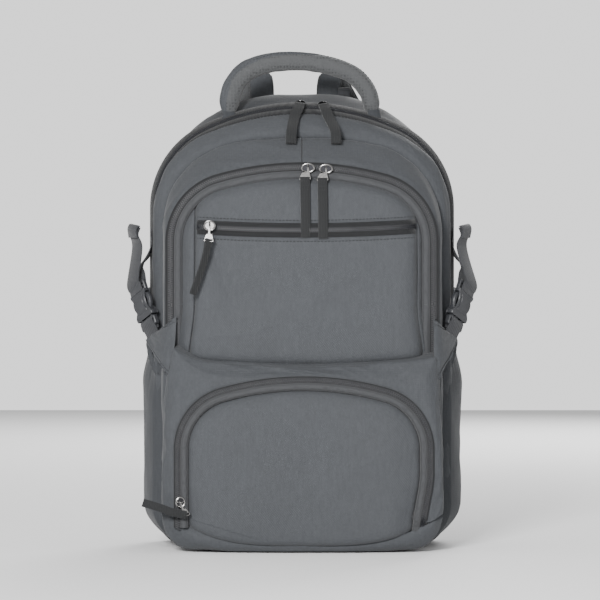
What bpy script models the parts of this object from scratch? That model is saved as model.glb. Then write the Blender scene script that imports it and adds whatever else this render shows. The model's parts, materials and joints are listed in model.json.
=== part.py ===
"""Daypack: rear and front compartments, arched zips, two pockets, straps, buckles and pulls.

Frame: origin at the centre of the base, +X to the right seen from the front, front facing -Y,
back panel towards +Y, +Z up. Metres.
"""
import math

import bmesh
import bpy
from mathutils import Matrix, Vector

# Driving dimensions
WALL = 0.003                # padded fabric wall
GAP = 0.0003                # clearance between neighbouring pieces
FOLD_Z = 0.238              # height where the front half folds forward
FLAP_Z = 0.246              # height where the arched front flap folds
FRONT_Y = -0.0935           # foremost line of the upper front, where both folds turn
LOWER_FOLD_Z = 0.030        # bottom edge of the lower pocket's flap
LOWER_FRONT_Y = -0.1125     # foremost face of the lower pocket
BACK_Y = 0.084              # outer face of the back panel
CORNER = 0.035              # radius of the bottom corners
PANEL_X = 0.002             # the front panels sit slightly to the right of the centre
ZIP_BAND = 0.0035           # width of one half of a zip
UPPER_ZIP_HALF = 0.098      # half length of the upper pocket's zip
TAPE_T = 0.0014             # thickness of a pull tape or webbing
STRAP_W = 0.025             # compression webbing

# Arched outlines: half width, top height, crown radius, shoulder radius
REAR = (0.1535, 0.464, 0.400, 0.130)
BACK = (0.1505, 0.461, 0.400, 0.130)
ZIP_1 = (0.1490, 0.447, 0.230, 0.088)
SEAM = (0.1390, 0.418, 0.350, 0.080)
ZIP_2 = (0.1340, 0.386, 0.310, 0.067)
LOWER_SEAM = (0.1380, 0.188, 0.900, 0.030)
LOWER_ZIP = (0.1260, 0.172, 0.300, 0.060)

CROWN_STEPS, SHOULDER_STEPS, SIDE_STEPS = 12, 5, 2

COLOURS = {
    "shell": (0.140, 0.150, 0.158), "panel": (0.165, 0.168, 0.180), "pocket": (0.120, 0.133, 0.142),
    "binding": (0.105, 0.100, 0.090), "mesh": (0.060, 0.062, 0.063), "tape": (0.055, 0.056, 0.058),
    "metal": (0.42, 0.42, 0.43), "plastic": (0.20, 0.205, 0.21), "board": (0.03, 0.03, 0.03),
    "lining": (0.25, 0.26, 0.27),
}


def new_collection(name):
    collection = bpy.data.collections.new(name)
    bpy.context.scene.collection.children.link(collection)
    return collection


def material(name, kind):
    mat = bpy.data.materials.new(name + "_material")
    mat.use_nodes = True
    shader = mat.node_tree.nodes["Principled BSDF"]
    shader.inputs["Base Color"].default_value = (*COLOURS[kind], 1)
    shader.inputs["Roughness"].default_value = 0.3 if kind == "metal" else 0.45 if kind == "plastic" else 0.85
    shader.inputs["Metallic"].default_value = 1.0 if kind == "metal" else 0.0
    return mat


def add(name, verts, faces, kind, pivot=(0, 0, 0)):
    """A mesh object whose origin is at pivot, with its faces turned outwards."""
    pivot = Vector(pivot)
    mesh = bpy.data.meshes.new(name)
    mesh.from_pydata([Vector(v) - pivot for v in verts], [], faces)
    bm = bmesh.new()
    bm.from_mesh(mesh)
    bmesh.ops.remove_doubles(bm, verts=bm.verts, dist=1e-6)
    bmesh.ops.recalc_face_normals(bm, faces=bm.faces)
    bm.to_mesh(mesh)
    bm.free()
    obj = bpy.data.objects.new(name, mesh)
    obj.location = pivot
    obj.data.materials.append(material(name, kind))
    PARTS.objects.link(obj)
    return obj


def box_cutter(name, low, high):
    bpy.ops.mesh.primitive_cube_add(size=1)
    cutter = bpy.context.active_object
    cutter.name = name
    cutter.data.transform(Matrix.Diagonal([h - l for l, h in zip(low, high)] + [1]))
    cutter.location = [(l + h) / 2 for l, h in zip(low, high)]
    cutter.hide_render = True
    cutter.display_type = "WIRE"
    for collection in list(cutter.users_collection):
        collection.objects.unlink(cutter)
    CUTTERS.objects.link(cutter)
    return cutter


def cut(obj, cutter, operation="DIFFERENCE"):
    modifier = obj.modifiers.new(cutter.name, "BOOLEAN")
    modifier.operation = operation
    modifier.solver = "EXACT"
    modifier.object = cutter


def arc(cx, cz, radius, start, end, steps):
    """Points on a circle, angles measured from straight up towards +X."""
    angles = [start + (end - start) * i / steps for i in range(steps + 1)]
    return [(cx + radius * math.sin(t), cz + radius * math.cos(t)) for t in angles]


def crown(shape, inset=0.0):
    """Crown centre height, crown half angle, shoulder centre and radii of an arched outline."""
    a, top, r1, r2 = shape[0] - inset, shape[1] - inset, shape[2] - inset, shape[3] - inset
    half = math.asin((a - r2) / (r1 - r2))
    centre = top - r1
    return centre, half, (a - r2, centre + (r1 - r2) * math.cos(half)), r1, r2


def arch(shape, foot, inset=0.0, x0=0.0):
    """Open arched path from the right foot over the crown to the left foot, as (x, z)."""
    centre, half, (sx, sz), r1, r2 = crown(shape, inset)
    right = arc(sx, sz, r2, math.pi / 2, half, SHOULDER_STEPS)
    top = arc(0, centre, r1, half, -half, CROWN_STEPS)
    left = arc(-sx, sz, r2, -half, -math.pi / 2, SHOULDER_STEPS)
    a = sx + r2
    up = [(a, foot + (sz - foot) * i / SIDE_STEPS) for i in range(SIDE_STEPS)]
    down = [(-a, sz + (foot - sz) * i / SIDE_STEPS) for i in range(1, SIDE_STEPS + 1)]
    return [(x + x0, z) for x, z in up + right + top[1:-1] + left + down]


def outline(shape, base, corner, inset=0.0, x0=0.0):
    """Closed arched outline with rounded bottom corners."""
    a = shape[0] - inset
    radius = max(corner - inset, 0.002)
    foot = base + inset
    right = arc(a - radius, foot + radius, radius, math.pi, math.pi / 2, 4)
    left = arc(-a + radius, foot + radius, radius, -math.pi / 2, -math.pi, 4)
    side = arch(shape, foot + radius, inset)
    return [(x + x0, z) for x, z in right[:-1] + side + left[1:]]


def ring(points, y):
    return [(x, y, z) for x, z in points]


def loft(name, rings, kind, caps=(), closed=False, pivot=(0, 0, 0)):
    """Skin through rings of equal length, with flat caps on the rings named in caps."""
    count = len(rings[0])
    verts = [p for r in rings for p in r]
    faces = []
    pairs = [(i, i + 1) for i in range(len(rings) - 1)]
    if closed:
        pairs.append((len(rings) - 1, 0))
    for i, j in pairs:
        if (i, j) == tuple(caps):
            continue
        for k in range(count):
            n = (k + 1) % count
            faces.append((i * count + k, i * count + n, j * count + n, j * count + k))
    faces += [tuple(range(c * count, (c + 1) * count)) for c in caps]
    return add(name, verts, faces, kind, pivot)


def tray(name, outer, inner, kind, pivot=(0, 0, 0)):
    """Shell open at its first ring: outer rings run to the closed end, inner rings come back."""
    rings = outer + inner
    return loft(name, rings, kind, caps=(len(outer) - 1, len(outer)), closed=True, pivot=pivot)


def solid(name, rings, kind, pivot=(0, 0, 0)):
    verts = [p for r in rings for p in r]
    count = len(rings[0])
    faces = [tuple(range(count)), tuple(range((len(rings) - 1) * count, len(rings) * count))]
    for i in range(len(rings) - 1):
        for k in range(count):
            n = (k + 1) % count
            faces.append((i * count + k, i * count + n, (i + 1) * count + n, (i + 1) * count + k))
    return add(name, verts, faces, kind, pivot)


def band(name, shape, foot, inset_out, inset_in, y_back, y_front, kind, pivot=(0, 0, 0), x0=0.0):
    """A flat arched strip between two insets of an outline."""
    outer = arch(shape, foot, inset_out, x0)
    inner = arch(shape, foot, inset_in, x0)
    rings = []
    for (xo, zo), (xi, zi) in zip(outer, inner):
        rings.append([(xo, y_back, zo), (xo, y_front, zo), (xi, y_front, zi), (xi, y_back, zi)])
    return solid(name, rings, kind, pivot)


def strip(name, path, width_axis, width, thick, kind, pivot=(0, 0, 0)):
    """Webbing: a rectangular section carried along a path, width along a fixed axis."""
    path = [Vector(p) for p in path]
    side = Vector(width_axis).normalized()
    widths = width if isinstance(width, (list, tuple)) else [width] * len(path)
    rings = []
    for i, point in enumerate(path):
        ahead = path[min(i + 1, len(path) - 1)] - point
        behind = point - path[max(i - 1, 0)]
        ahead = ahead.normalized() if ahead.length else behind.normalized()
        behind = behind.normalized() if behind.length else ahead
        tangent = (ahead + behind).normalized()
        normal = side.cross(tangent).normalized()
        stretch = thick / 2 / max(normal.dot(side.cross(ahead).normalized()), 0.5)
        w = side * widths[i] / 2
        n = normal * stretch
        rings.append([point - w - n, point + w - n, point + w + n, point - w + n])
    return solid(name, rings, kind, pivot)


def cut_box(name, centre, size, kind, axes=None, pivot=(0, 0, 0), chamfer=0.0):
    """A block with chamfered long edges, turned to the given axes (width, depth, height)."""
    u, v, w = [Vector(a).normalized() for a in (axes or ((1, 0, 0), (0, 1, 0), (0, 0, 1)))]
    centre = Vector(centre)
    hx, hy, hz = [s / 2 for s in size]
    c = chamfer
    if c:
        corners = [(-hx + c, -hy), (hx - c, -hy), (hx, -hy + c), (hx, hy - c),
                   (hx - c, hy), (-hx + c, hy), (-hx, hy - c), (-hx, -hy + c)]
    else:
        corners = [(-hx, -hy), (hx, -hy), (hx, hy), (-hx, hy)]
    rings = [[centre + u * a + v * b + w * h for a, b in corners] for h in (-hz, hz)]
    return solid(name, rings, kind, pivot)


def rear_compartment():
    """Rear gusset, back panel, divider and bottom board."""
    stations = [(BACK_Y - 0.0065, BACK, 0.002), (0.060, REAR, 0.0), (0.0085, ZIP_1, 0.0), (0.0043, ZIP_1, 0.0)]
    outer = [ring(outline(s, b, CORNER), y) for y, s, b in stations]
    inner = [ring(outline(s, b, CORNER, WALL), y) for y, s, b in stations]
    loft("rear_shell", outer + inner[::-1], "shell", closed=True)
    plate("back_panel", BACK, 0.002, BACK_Y - 0.006, BACK_Y, "mesh")
    plate("laptop_divider", (0.146, 0.400, 0.9, 0.060), 0.0045, 0.058, 0.062, "lining", CORNER - WALL)
    plate("compartment_divider", (0.1355, 0.2365, 5.0, 0.004), 0.0035, -0.0270, -0.0250, "lining", CORNER - WALL)
    cut_box("base_board", (0, 0.017, 0.0048), (0.19, 0.078, 0.0022), "board")


def plate(name, shape, base, y_back, y_front, kind, corner=CORNER, inset=0.0):
    points = outline(shape, base, corner, inset)
    return solid(name, [ring(points, y_back), ring(points, y_front)], kind)


def back_pads():
    """Two long cushions on the back panel."""
    y0 = BACK_Y + GAP
    for side, name in ((-1, "back_pad_left"), (1, "back_pad_right")):
        shape = (0.046, 0.415, 0.100, 0.030)
        x0 = side * 0.064
        rings = [ring(outline(shape, 0.045, 0.03, i, x0), y)
                 for y, i in ((y0, 0.0), (y0 + 0.006, 0.0), (y0 + 0.012, 0.010))]
        solid(name, rings, "mesh")


def front_half():
    """The half in front of the main zip, made as one form and cut at the fold."""
    top = 0.6
    stations = [(0.0037, 0.1490), (-0.010, 0.1490), (-0.028, 0.1400), (-0.065, 0.1350), (-0.084, 0.1330)]
    shapes = [(a, top, 0.4, 0.08) for _, a in stations]
    outer = [ring(outline(s, 0.0, CORNER), y) for (y, _), s in zip(stations, shapes)]
    inner = [ring(outline(s, 0.0, CORNER, WALL), y) for (y, _), s in zip(stations, shapes)]
    inner[-1] = ring(outline(shapes[-1], 0.0, CORNER, WALL), -0.084 + WALL)
    shell = tray("lower_front_shell", outer, inner[::-1], "shell")
    cut(shell, box_cutter("above_fold", (-0.3, -0.3, FOLD_Z - 0.001), (0.3, 0.3, 0.9)))


def main_flap():
    """Band behind the first seam with its divider panel, and the gusset in front of it."""
    hinge = (0, FRONT_Y, FOLD_Z)
    low = box_cutter("below_fold", (-0.3, -0.3, -0.1), (0.3, 0.3, FOLD_Z + GAP))
    shapes = [(0.0037, ZIP_1), (-0.010, (0.1500, 0.443, 0.240, 0.086)), (-0.0278, SEAM)]
    outer = [ring(outline(s, 0.05, CORNER), y) for y, s in shapes]
    inner = [ring(outline(s, 0.05, CORNER, WALL), y) for y, s in shapes]
    inner[-1] = ring(outline(SEAM, 0.05, CORNER, WALL), -0.0278 + WALL)
    shell = tray("main_flap_shell", outer, inner[::-1], "shell", hinge)
    cut(shell, low)
    outer = [ring(outline(s, 0.05, CORNER), y) for y, s in ((-0.0282, SEAM), (-0.065, ZIP_2))]
    inner = [ring(outline(s, 0.05, CORNER, WALL), y) for y, s in ((-0.0282, SEAM), (-0.065, ZIP_2))]
    gusset = loft("front_gusset", outer + inner[::-1], "shell", closed=True, pivot=hinge)
    cut(gusset, low)


def zips():
    """Each zip is two flat halves that part along its middle."""
    main, front, lower = ZIP_1, ZIP_2, LOWER_ZIP
    # the main zip stands on the rear and front rims as two thin arches above the gap between them
    for name, y0, y1, pivot in (("main_zip_rear", 0.0042, 0.0077, (0, 0, 0)),
                                ("main_zip_front", 0.0004, 0.0039, (0, FRONT_Y, FOLD_Z))):
        band(name, main, FOLD_Z + 0.001, -0.0018, -GAP, y1, y0, "binding", pivot)
    fy = -0.0653
    band("front_zip_outer", front, FLAP_Z, 0, ZIP_BAND, fy, fy - 0.0015, "binding", (0, FRONT_Y, FOLD_Z))
    band("front_zip_inner", front, FLAP_Z, ZIP_BAND + GAP, 2 * ZIP_BAND, fy, fy - 0.0015, "binding",
         (0, FRONT_Y, FLAP_Z))
    ly = -0.1003
    band("lower_zip_outer", lower, 0.045, 0, ZIP_BAND, ly, ly - 0.0015, "binding", x0=PANEL_X)
    band("lower_zip_inner", lower, 0.045, ZIP_BAND + GAP, 2 * ZIP_BAND, ly, ly - 0.0015, "binding",
         (0, LOWER_FRONT_Y, LOWER_FOLD_Z), PANEL_X)


def front_flap():
    """Domed panel inside the front zip, with the zip of its pocket let into it."""
    hinge = (0, FRONT_Y, FLAP_Z)
    y0 = -0.0655
    stations = [(y0, ZIP_2, 0.0078), (-0.0695, ZIP_2, 0.0105), (-0.0750, (0.119, 0.364, 0.300, 0.055), 0),
                (-0.0820, (0.112, 0.341, 0.300, 0.045), 0), (-0.0885, (0.102, 0.311, 0.300, 0.035), 0)]
    outer = [ring(outline(s, 0.10, 0.03, i), y) for y, s, i in stations]
    inner = [ring(outline(s, 0.10, 0.03, i + 0.0028), y + 0.0012) for y, s, i in stations]
    inner[0] = ring(outline(ZIP_2, 0.10, 0.03, 0.0106), y0)
    inner[-1] = ring(outline(stations[-1][1], 0.10, 0.03, WALL), -0.0885 + WALL)
    panel = tray("front_panel", outer, inner[::-1], "panel", hinge)
    cut(panel, box_cutter("below_flap", (-0.3, -0.3, -0.1), (0.3, 0.3, FLAP_Z + GAP)))
    half = UPPER_ZIP_HALF
    cut(panel, box_cutter("pocket_slot", (PANEL_X - half - GAP, -0.2, 0.3188), (PANEL_X + half + GAP, -0.072, 0.3312)))
    cut_box("upper_pocket_zip", (PANEL_X, -0.0846, 0.325), (2 * half, 0.0024, 0.0118), "binding", pivot=hinge)


def lower_pocket():
    """Gusset of the lower pocket and the flap that folds down from it."""
    rings = [(-0.0843, LOWER_SEAM, 0.006, 0.03), (-0.0930, (0.139, 0.181, 0.6, 0.045), 0.007, 0.03),
             (-0.1000, LOWER_ZIP, LOWER_FOLD_Z, 0.012)]
    outer = [ring(outline(s, b, c, 0, PANEL_X), y) for y, s, b, c in rings]
    inner = [ring(outline(s, b, c, WALL, PANEL_X), y) for y, s, b, c in rings]
    loft("lower_pocket_body", outer + inner[::-1], "shell", closed=True)
    stations = [(-0.1000, 0.0078), (-0.1045, 0.011), (-0.1085, 0.022), (-0.1110, 0.044)]
    hinge = (0, LOWER_FRONT_Y, LOWER_FOLD_Z)
    outer = [ring(outline(LOWER_ZIP, 0.0225, 0.012, i, PANEL_X), y) for y, i in stations]
    inner = [ring(outline(LOWER_ZIP, 0.0225, 0.012, i + 0.0028, PANEL_X), y + 0.0012) for y, i in stations]
    inner[0] = ring(outline(LOWER_ZIP, 0.0225, 0.012, 0.0106, PANEL_X), -0.1000)
    inner[-1] = ring(outline(LOWER_ZIP, 0.0225, 0.012, 0.047, PANEL_X), -0.1110 + WALL)
    tray("lower_panel", outer, inner[::-1], "panel", hinge)


def side_pockets():
    """Flat bottle pockets on the sides, open at the top."""
    for side, name in ((-1, "side_pocket_left"), (1, "side_pocket_right")):
        x_bag = side * 0.1541

        def profile(depth, inset, back):
            points = []
            for i in range(9):
                t = math.pi * i / 8
                y = 0.0255 - (0.048 - inset) * math.cos(t)
                points.append((x_bag + side * ((depth - inset) * math.sin(t) ** 0.7), y))
            points.append((x_bag - side * back, 0.0255 + 0.048 - inset))
            points.append((x_bag - side * back, 0.0255 - 0.048 + inset))
            return points

        levels = [(0.012, 0.0030), (0.030, 0.0085), (0.090, 0.0112), (0.150, 0.0108), (0.205, 0.0090)]
        rings = [[(x, y, z) for x, y in profile(d, 0.0, 0.0)][:9] for z, d in levels]
        hollow = [(0.020, 0.0062), (0.030, 0.0085), (0.090, 0.0112), (0.150, 0.0108), (0.206, 0.0090)]
        pocket = solid(name, rings, "pocket")
        inner = [[(x, y, z) for x, y in profile(d, 0.0018, 0.004)] for z, d in hollow]
        cutter = solid(name + "_hollow", inner, "pocket")
        PARTS.objects.unlink(cutter)
        CUTTERS.objects.link(cutter)
        cutter.hide_render = True
        cutter.display_type = "WIRE"
        cut(pocket, cutter)


def strap_frame(side):
    """Start, direction, width direction and outward normal of a compression strap."""
    along = Vector((side * 0.30, 0.30, 0.90)).normalized()
    width = Vector((side * 0.60, 0.75, -0.25))
    width = (width - along * width.dot(along)).normalized()
    outward = width.cross(along) * side
    if outward.x * side < 0:
        outward.negate()
    return Vector((side * 0.1465, -0.034, 0.2135)), along, width, outward


def compression_straps():
    """Wing, webbings and a side-release buckle on each side."""
    for side, word in ((-1, "left"), (1, "right")):
        start, along, width, outward = strap_frame(side)
        out = Vector((side, 0, 0))
        corners = [Vector((side * 0.1375, -0.070, 0.234)), Vector((side * 0.1375, -0.080, 0.170)),
                   start + width * STRAP_W / 2, start - width * STRAP_W / 2]
        rings = [corners, [c + out * 0.0018 for c in corners]]
        solid("wing_" + word, rings, "panel")
        axes = (width, outward, along)
        lift = outward * 0.004

        def at(s, n=0.0):
            return start + lift + along * s + outward * n

        strip("plug_webbing_" + word, [at(0.002), at(0.0098)], width, STRAP_W, TAPE_T, "tape")
        cut_box("plug_" + word, at(0.0155), (0.026, 0.006, 0.0105), "plastic", axes, chamfer=0.0015)
        socket = cut_box("buckle_socket_" + word, at(0.0395), (0.030, 0.0085, 0.0365), "plastic", axes,
                         pivot=at(0.021), chamfer=0.002)
        cut(socket, slot_cutter("strap_slot_" + word, at(0.050), axes))
        path = [at(0.0585, 0.003), Vector((side * 0.1680, -0.0125, 0.294)), Vector((side * 0.1675, -0.0080, 0.322))]
        strip("webbing_tail_" + word, path, width, STRAP_W - 0.002, 0.0028, "tape",
              at(0.021))
        anchor = Vector((side * 0.1545, 0.020, 0.318))
        strip("upper_webbing_" + word, [at(0.0585, -0.0062), at(0.080, -0.0062), anchor + out * 0.0022],
              width, STRAP_W - 0.002, TAPE_T, "tape")


def slot_cutter(name, centre, axes):
    """The slot of the buckle that the webbing is threaded through."""
    cutter = cut_box(name, centre, (0.022, 0.02, 0.004), "plastic", axes)
    PARTS.objects.unlink(cutter)
    CUTTERS.objects.link(cutter)
    cutter.hide_render = True
    cutter.display_type = "WIRE"
    return cutter


def slider_and_pull(name, at, down, outward, tape, tab=0.0, tape_w=0.011, drop=0.0):
    """A zip slider, its metal tab if it has one, and the webbing tape that hangs from it."""
    at, down, outward = Vector(at), Vector(down).normalized(), Vector(outward)
    centre = at + outward * 0.0021
    cut_box(name + "_slider", centre, (0.0085, 0.0038, 0.009), "metal", (down.cross(outward), outward, down),
            pivot=at, chamfer=0.0012)
    hang = at + outward * 0.0062
    start = hang
    if tab:
        end = hang + down * tab
        strip(name + "_tab", [hang, end], down.cross(outward), 0.006, 0.0016, "metal", hang)
        start = end + down * (GAP + drop)
    points = [start + (Vector(p) - Vector(tape[0])) for p in tape]
    side = outward.cross(points[1] - points[0])
    strip(name + "_tape", points, side, tape_w, 0.0022, "tape", hang)


def sliders():
    """Six sliders: two on the main zip, two on the front zip and one on each pocket."""
    slope = Vector((0, -0.66, 0.75)).normalized()
    for word, x, lean in (("main_left", -0.002, -0.010), ("main_right", 0.022, 0.008)):
        centre = ZIP_1[1] - ZIP_1[2]
        z = centre + math.sqrt((ZIP_1[2] + 0.0036) ** 2 - x ** 2)
        out = Vector((0, -0.30, 0.95)).normalized()
        down = Vector((lean, -0.030, -0.030)).normalized()
        down = (down - slope * down.dot(slope)).normalized()
        at = Vector((x, 0.0038, z)) + out * 0.0010
        slider_and_pull(word, at, down, out, [(0, 0, 0), down * 0.024, down * 0.046 + slope * 0.002])
    for word, x in (("front_left", 0.006), ("front_right", 0.024)):
        centre = ZIP_2[1] - ZIP_2[2]
        radius = ZIP_2[2] - ZIP_BAND
        z = centre + math.sqrt(radius ** 2 - x ** 2)
        out = Vector((0, -1, 0))
        at = Vector((x, -0.0685, z))
        down = Vector((0.0, -0.38, -0.925)).normalized()
        slider_and_pull(word, at, down, Vector((0, -0.925, 0.38)),
                        [(0, 0, 0), down * 0.028, down * 0.056], tab=0.013)
    out = Vector((0, -1, 0))
    down = Vector((-0.10, -0.06, -1)).normalized()
    slider_and_pull("upper_pocket", (PANEL_X - UPPER_ZIP_HALF + 0.004, -0.0876, 0.325), down, out,
                    [(0, 0, 0), down * 0.026, down * 0.052], tab=0.015, tape_w=0.007)
    x = PANEL_X - LOWER_ZIP[0] + ZIP_BAND
    down = Vector((0.15, 0, -1)).normalized()
    sideways = Vector((-0.97, 0, 0.22))
    slider_and_pull("lower_pocket", (x, -0.1021, 0.0505), down, out,
                    [(0, 0, 0), sideways * 0.020, sideways * 0.042], tab=0.012, tape_w=0.009, drop=0.0062)


def handle():
    """Padded grab handle on the front of the rear gusset's top, and the hang loop behind it."""
    hinge = (0, 0.016, 0.440)
    path = [(-0.0775, 0.4460), (-0.0765, 0.457), (-0.066, 0.473), (-0.048, 0.485), (-0.025, 0.4915),
            (0.0, 0.4935), (0.025, 0.4905), (0.048, 0.482), (0.064, 0.469), (0.0735, 0.456), (0.0755, 0.4460)]
    points = [Vector((x, 0.016, z)) for x, z in path]
    rings = []
    for i, point in enumerate(points):
        tangent = (points[min(i + 1, 10)] - points[max(i - 1, 0)]).normalized()
        out = Vector((0, 1, 0)).cross(tangent)
        fat = 0.0085 if 2 <= i <= 8 else 0.0065
        section = []
        for k in range(8):
            t = math.pi * (2 * k + 1) / 8
            section.append(point + out * fat * math.cos(t) + Vector((0, 0.0075 * math.sin(t), 0)))
        rings.append(section)
    solid("grab_handle", rings, "mesh", hinge)
    loop = [(0.044, 0.0770, 0.4625), (0.044, 0.0765, 0.4725), (0.044, 0.0690, 0.4725), (0.044, 0.0685, 0.4655)]
    strip("hang_loop", loop, (1, 0, 0), 0.012, TAPE_T, "tape")


def shoulder_straps():
    """Padded straps from the top seam down the back, with ladder locks and lower webbings."""
    for side, word in ((-1, "left"), (1, "right")):
        top_x = -0.042 if side < 0 else 0.028
        pivot = (top_x, 0.0905, 0.452)
        shift = [0.0, 0.0, 0.004, 0.010, 0.020, 0.034, 0.050, 0.064, 0.074, 0.078]
        width = [0.036, 0.040, 0.046, 0.052, 0.056, 0.058, 0.056, 0.050, 0.042, 0.034]
        line = [(0.0905, 0.452), (0.0915, 0.474), (0.0985, 0.4805), (0.1060, 0.470), (0.1090, 0.425),
                (0.1090, 0.365), (0.1090, 0.305), (0.1090, 0.245), (0.1090, 0.195), (0.1090, 0.160)]
        reach = (0.120 - abs(top_x)) / shift[-1]
        path = [(top_x + side * s * reach, y, z) for s, (y, z) in zip(shift, line)]
        strip("shoulder_strap_" + word, path, (1, 0, 0), width, 0.011, "mesh", pivot)
        x_low = side * 0.120
        lock = cut_box("ladder_lock_" + word, (x_low, 0.109, 0.1455), (0.030, 0.005, 0.028), "plastic",
                       pivot=pivot)
        cutter = box_cutter("ladder_slot_" + word, (x_low - 0.0125, 0.09, 0.1345), (x_low + 0.0125, 0.13, 0.1405))
        cut(lock, cutter)
        anchor = Vector((side * 0.133, 0.0902, 0.047))
        tab = [anchor + Vector((0, -0.0045, -0.012)), anchor + Vector((0, -0.0035, -0.001))]
        strip("anchor_tab_" + word, tab, (1, 0, 0), 0.032, 0.0022, "tape")
        end = Vector((x_low, 0.1075, 0.1295))
        mid = anchor.lerp(end, 0.5)
        strip("lower_webbing_" + word, [anchor + Vector((0, 0, 0.001)), mid, end], (1, 0, 0), 0.024, TAPE_T,
              "tape", anchor)


for old in list(bpy.data.objects):
    bpy.data.objects.remove(old)
PARTS = new_collection("daypack")
CUTTERS = new_collection("daypack_cutters")

rear_compartment()
back_pads()
front_half()
main_flap()
zips()
front_flap()
lower_pocket()
side_pockets()
compression_straps()
sliders()
handle()
shoulder_straps()
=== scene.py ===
"""The looks of the daypack: sewn fabric shells, zips, pulls, buckles, webbing, pads and handle.

Metres, in the frame of the CAD model: +X right, front towards -Y, +Z up.
"""
import json
import math

import bmesh
import bpy
import mathutils
import numpy as np
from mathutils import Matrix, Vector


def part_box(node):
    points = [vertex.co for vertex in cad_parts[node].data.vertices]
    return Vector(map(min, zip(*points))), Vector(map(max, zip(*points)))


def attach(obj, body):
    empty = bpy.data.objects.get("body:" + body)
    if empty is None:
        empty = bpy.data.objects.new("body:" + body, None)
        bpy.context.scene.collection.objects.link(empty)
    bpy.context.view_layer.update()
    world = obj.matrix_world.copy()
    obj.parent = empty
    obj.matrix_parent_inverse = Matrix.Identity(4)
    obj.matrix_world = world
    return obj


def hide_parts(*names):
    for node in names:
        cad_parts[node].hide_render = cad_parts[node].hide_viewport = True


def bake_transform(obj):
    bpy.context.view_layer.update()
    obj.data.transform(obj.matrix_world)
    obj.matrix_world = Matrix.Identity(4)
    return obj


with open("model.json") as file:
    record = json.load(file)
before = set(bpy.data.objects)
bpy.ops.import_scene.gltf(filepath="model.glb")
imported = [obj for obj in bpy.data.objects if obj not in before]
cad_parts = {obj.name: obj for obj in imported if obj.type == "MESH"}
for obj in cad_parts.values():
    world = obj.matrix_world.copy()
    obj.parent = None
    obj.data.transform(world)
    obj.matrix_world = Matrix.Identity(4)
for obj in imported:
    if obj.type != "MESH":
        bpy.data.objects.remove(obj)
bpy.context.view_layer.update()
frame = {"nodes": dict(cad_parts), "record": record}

# ---------------------------------------------------------------- sizes taken from the frame
LOW, HIGH = 0, 1            # the two corners of a box
rear_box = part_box("rear_shell")
zip2_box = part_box("front_zip_outer")
lower_zip_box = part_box("lower_zip_outer")
back_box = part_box("back_panel")
JOINTS = {j["name"]: j for j in frame["record"]["behaviour"]["joints"]}

FLAP_Z = JOINTS["front_flap_open"]["pos_m"][2]
LOWER_FOLD_Z = JOINTS["lower_flap_open"]["pos_m"][2]
PANEL_X = (lower_zip_box[LOW][0] + lower_zip_box[HIGH][0]) / 2

# arched outlines: half width, top height, crown radius, shoulder radius
REAR = (rear_box[HIGH][0], rear_box[HIGH][2], 0.400, 0.130)
BACK = (back_box[HIGH][0], back_box[HIGH][2], 0.400, 0.130)
ZIP_1 = (0.1490, 0.447, 0.230, 0.088)
SEAM = (0.1390, 0.418, 0.350, 0.080)
ZIP_2 = (zip2_box[HIGH][0], zip2_box[HIGH][2], 0.310, 0.067)
LOWER_ZIP = (lower_zip_box[HIGH][0] - PANEL_X, lower_zip_box[HIGH][2], 0.300, 0.060)
CORNER = 0.035              # radius of the bag's lower corners
SIGN = {"left": -1.0, "right": 1.0}

V = np.array


# ---------------------------------------------------------------- curves
def arc(cx, cz, radius, start, end, steps=60):
    """Points and outward normals of an arc. Angles are clockwise from straight up."""
    t = np.linspace(start, end, steps)
    points = np.stack([cx + radius * np.sin(t), cz + radius * np.cos(t)], 1)
    return points, np.stack([np.sin(t), np.cos(t)], 1)


def arch_parts(shape, inset):
    """Sizes of an arched outline moved in by inset, the angle where its arcs meet, and their centres."""
    a, top, r1, r2 = (value - inset for value in shape)
    half = math.asin((a - r2) / (r1 - r2))
    centre = top - r1
    sx, sz = a - r2, centre + (r1 - r2) * math.cos(half)
    return a, r1, r2, half, centre, sx, sz


def step_lengths(path):
    return np.linalg.norm(np.diff(path, axis=0), axis=1)


def travel(path):
    """Distance along a polyline at each of its points."""
    return np.r_[0, np.cumsum(step_lengths(path))]


def resample(points, normals, count):
    """Points and normals spaced evenly along a polyline."""
    steps = travel(points)
    keep = np.r_[True, np.diff(steps) > 1e-9]
    at = np.linspace(0, steps[-1], count)
    columns = [np.interp(at, steps[keep], c[keep]) for c in (*points.T, *normals.T)]
    width = points.shape[1]
    out = np.stack(columns[width:], 1)
    out /= np.linalg.norm(out, axis=1, keepdims=True)
    return np.stack(columns[:width], 1), out


def spline(points, count):
    """A smooth curve through the given points, evenly spaced."""
    points = np.asarray(points, float)
    ends = np.vstack([2 * points[0] - points[1], points, 2 * points[-1] - points[-2]])
    dense = []
    for a, b, c, d in zip(ends, ends[1:], ends[2:], ends[3:]):
        t = np.linspace(0, 1, 24, endpoint=False)[:, None]
        dense.append(0.5 * (2 * b + (c - a) * t + (2 * a - 5 * b + 4 * c - d) * t ** 2
                            + (3 * b - a - 3 * c + d) * t ** 3))
    dense = np.vstack([*dense, points[-1:]])
    steps = travel(dense)
    at = np.linspace(0, steps[-1], count)
    return np.stack([np.interp(at, steps, c) for c in dense.T], 1)


def arch(shape, foot, count, inset=0.0, x0=0.0):
    """Arched path from the right foot over the crown to the left foot."""
    a, r1, r2, half, centre, sx, sz = arch_parts(shape, inset)
    right, rn = arc(sx, sz, r2, math.pi / 2, half)
    top, tn = arc(0, centre, r1, half, -half, 120)
    left, ln = arc(-sx, sz, r2, -half, -math.pi / 2)
    points = np.vstack([[[a, foot]], right, top, left, [[-a, foot]]])
    normals = np.vstack([[[1, 0]], rn, tn, ln, [[-1, 0]]])
    points, normals = resample(points, normals, count)
    return points + [x0, 0], normals


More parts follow.
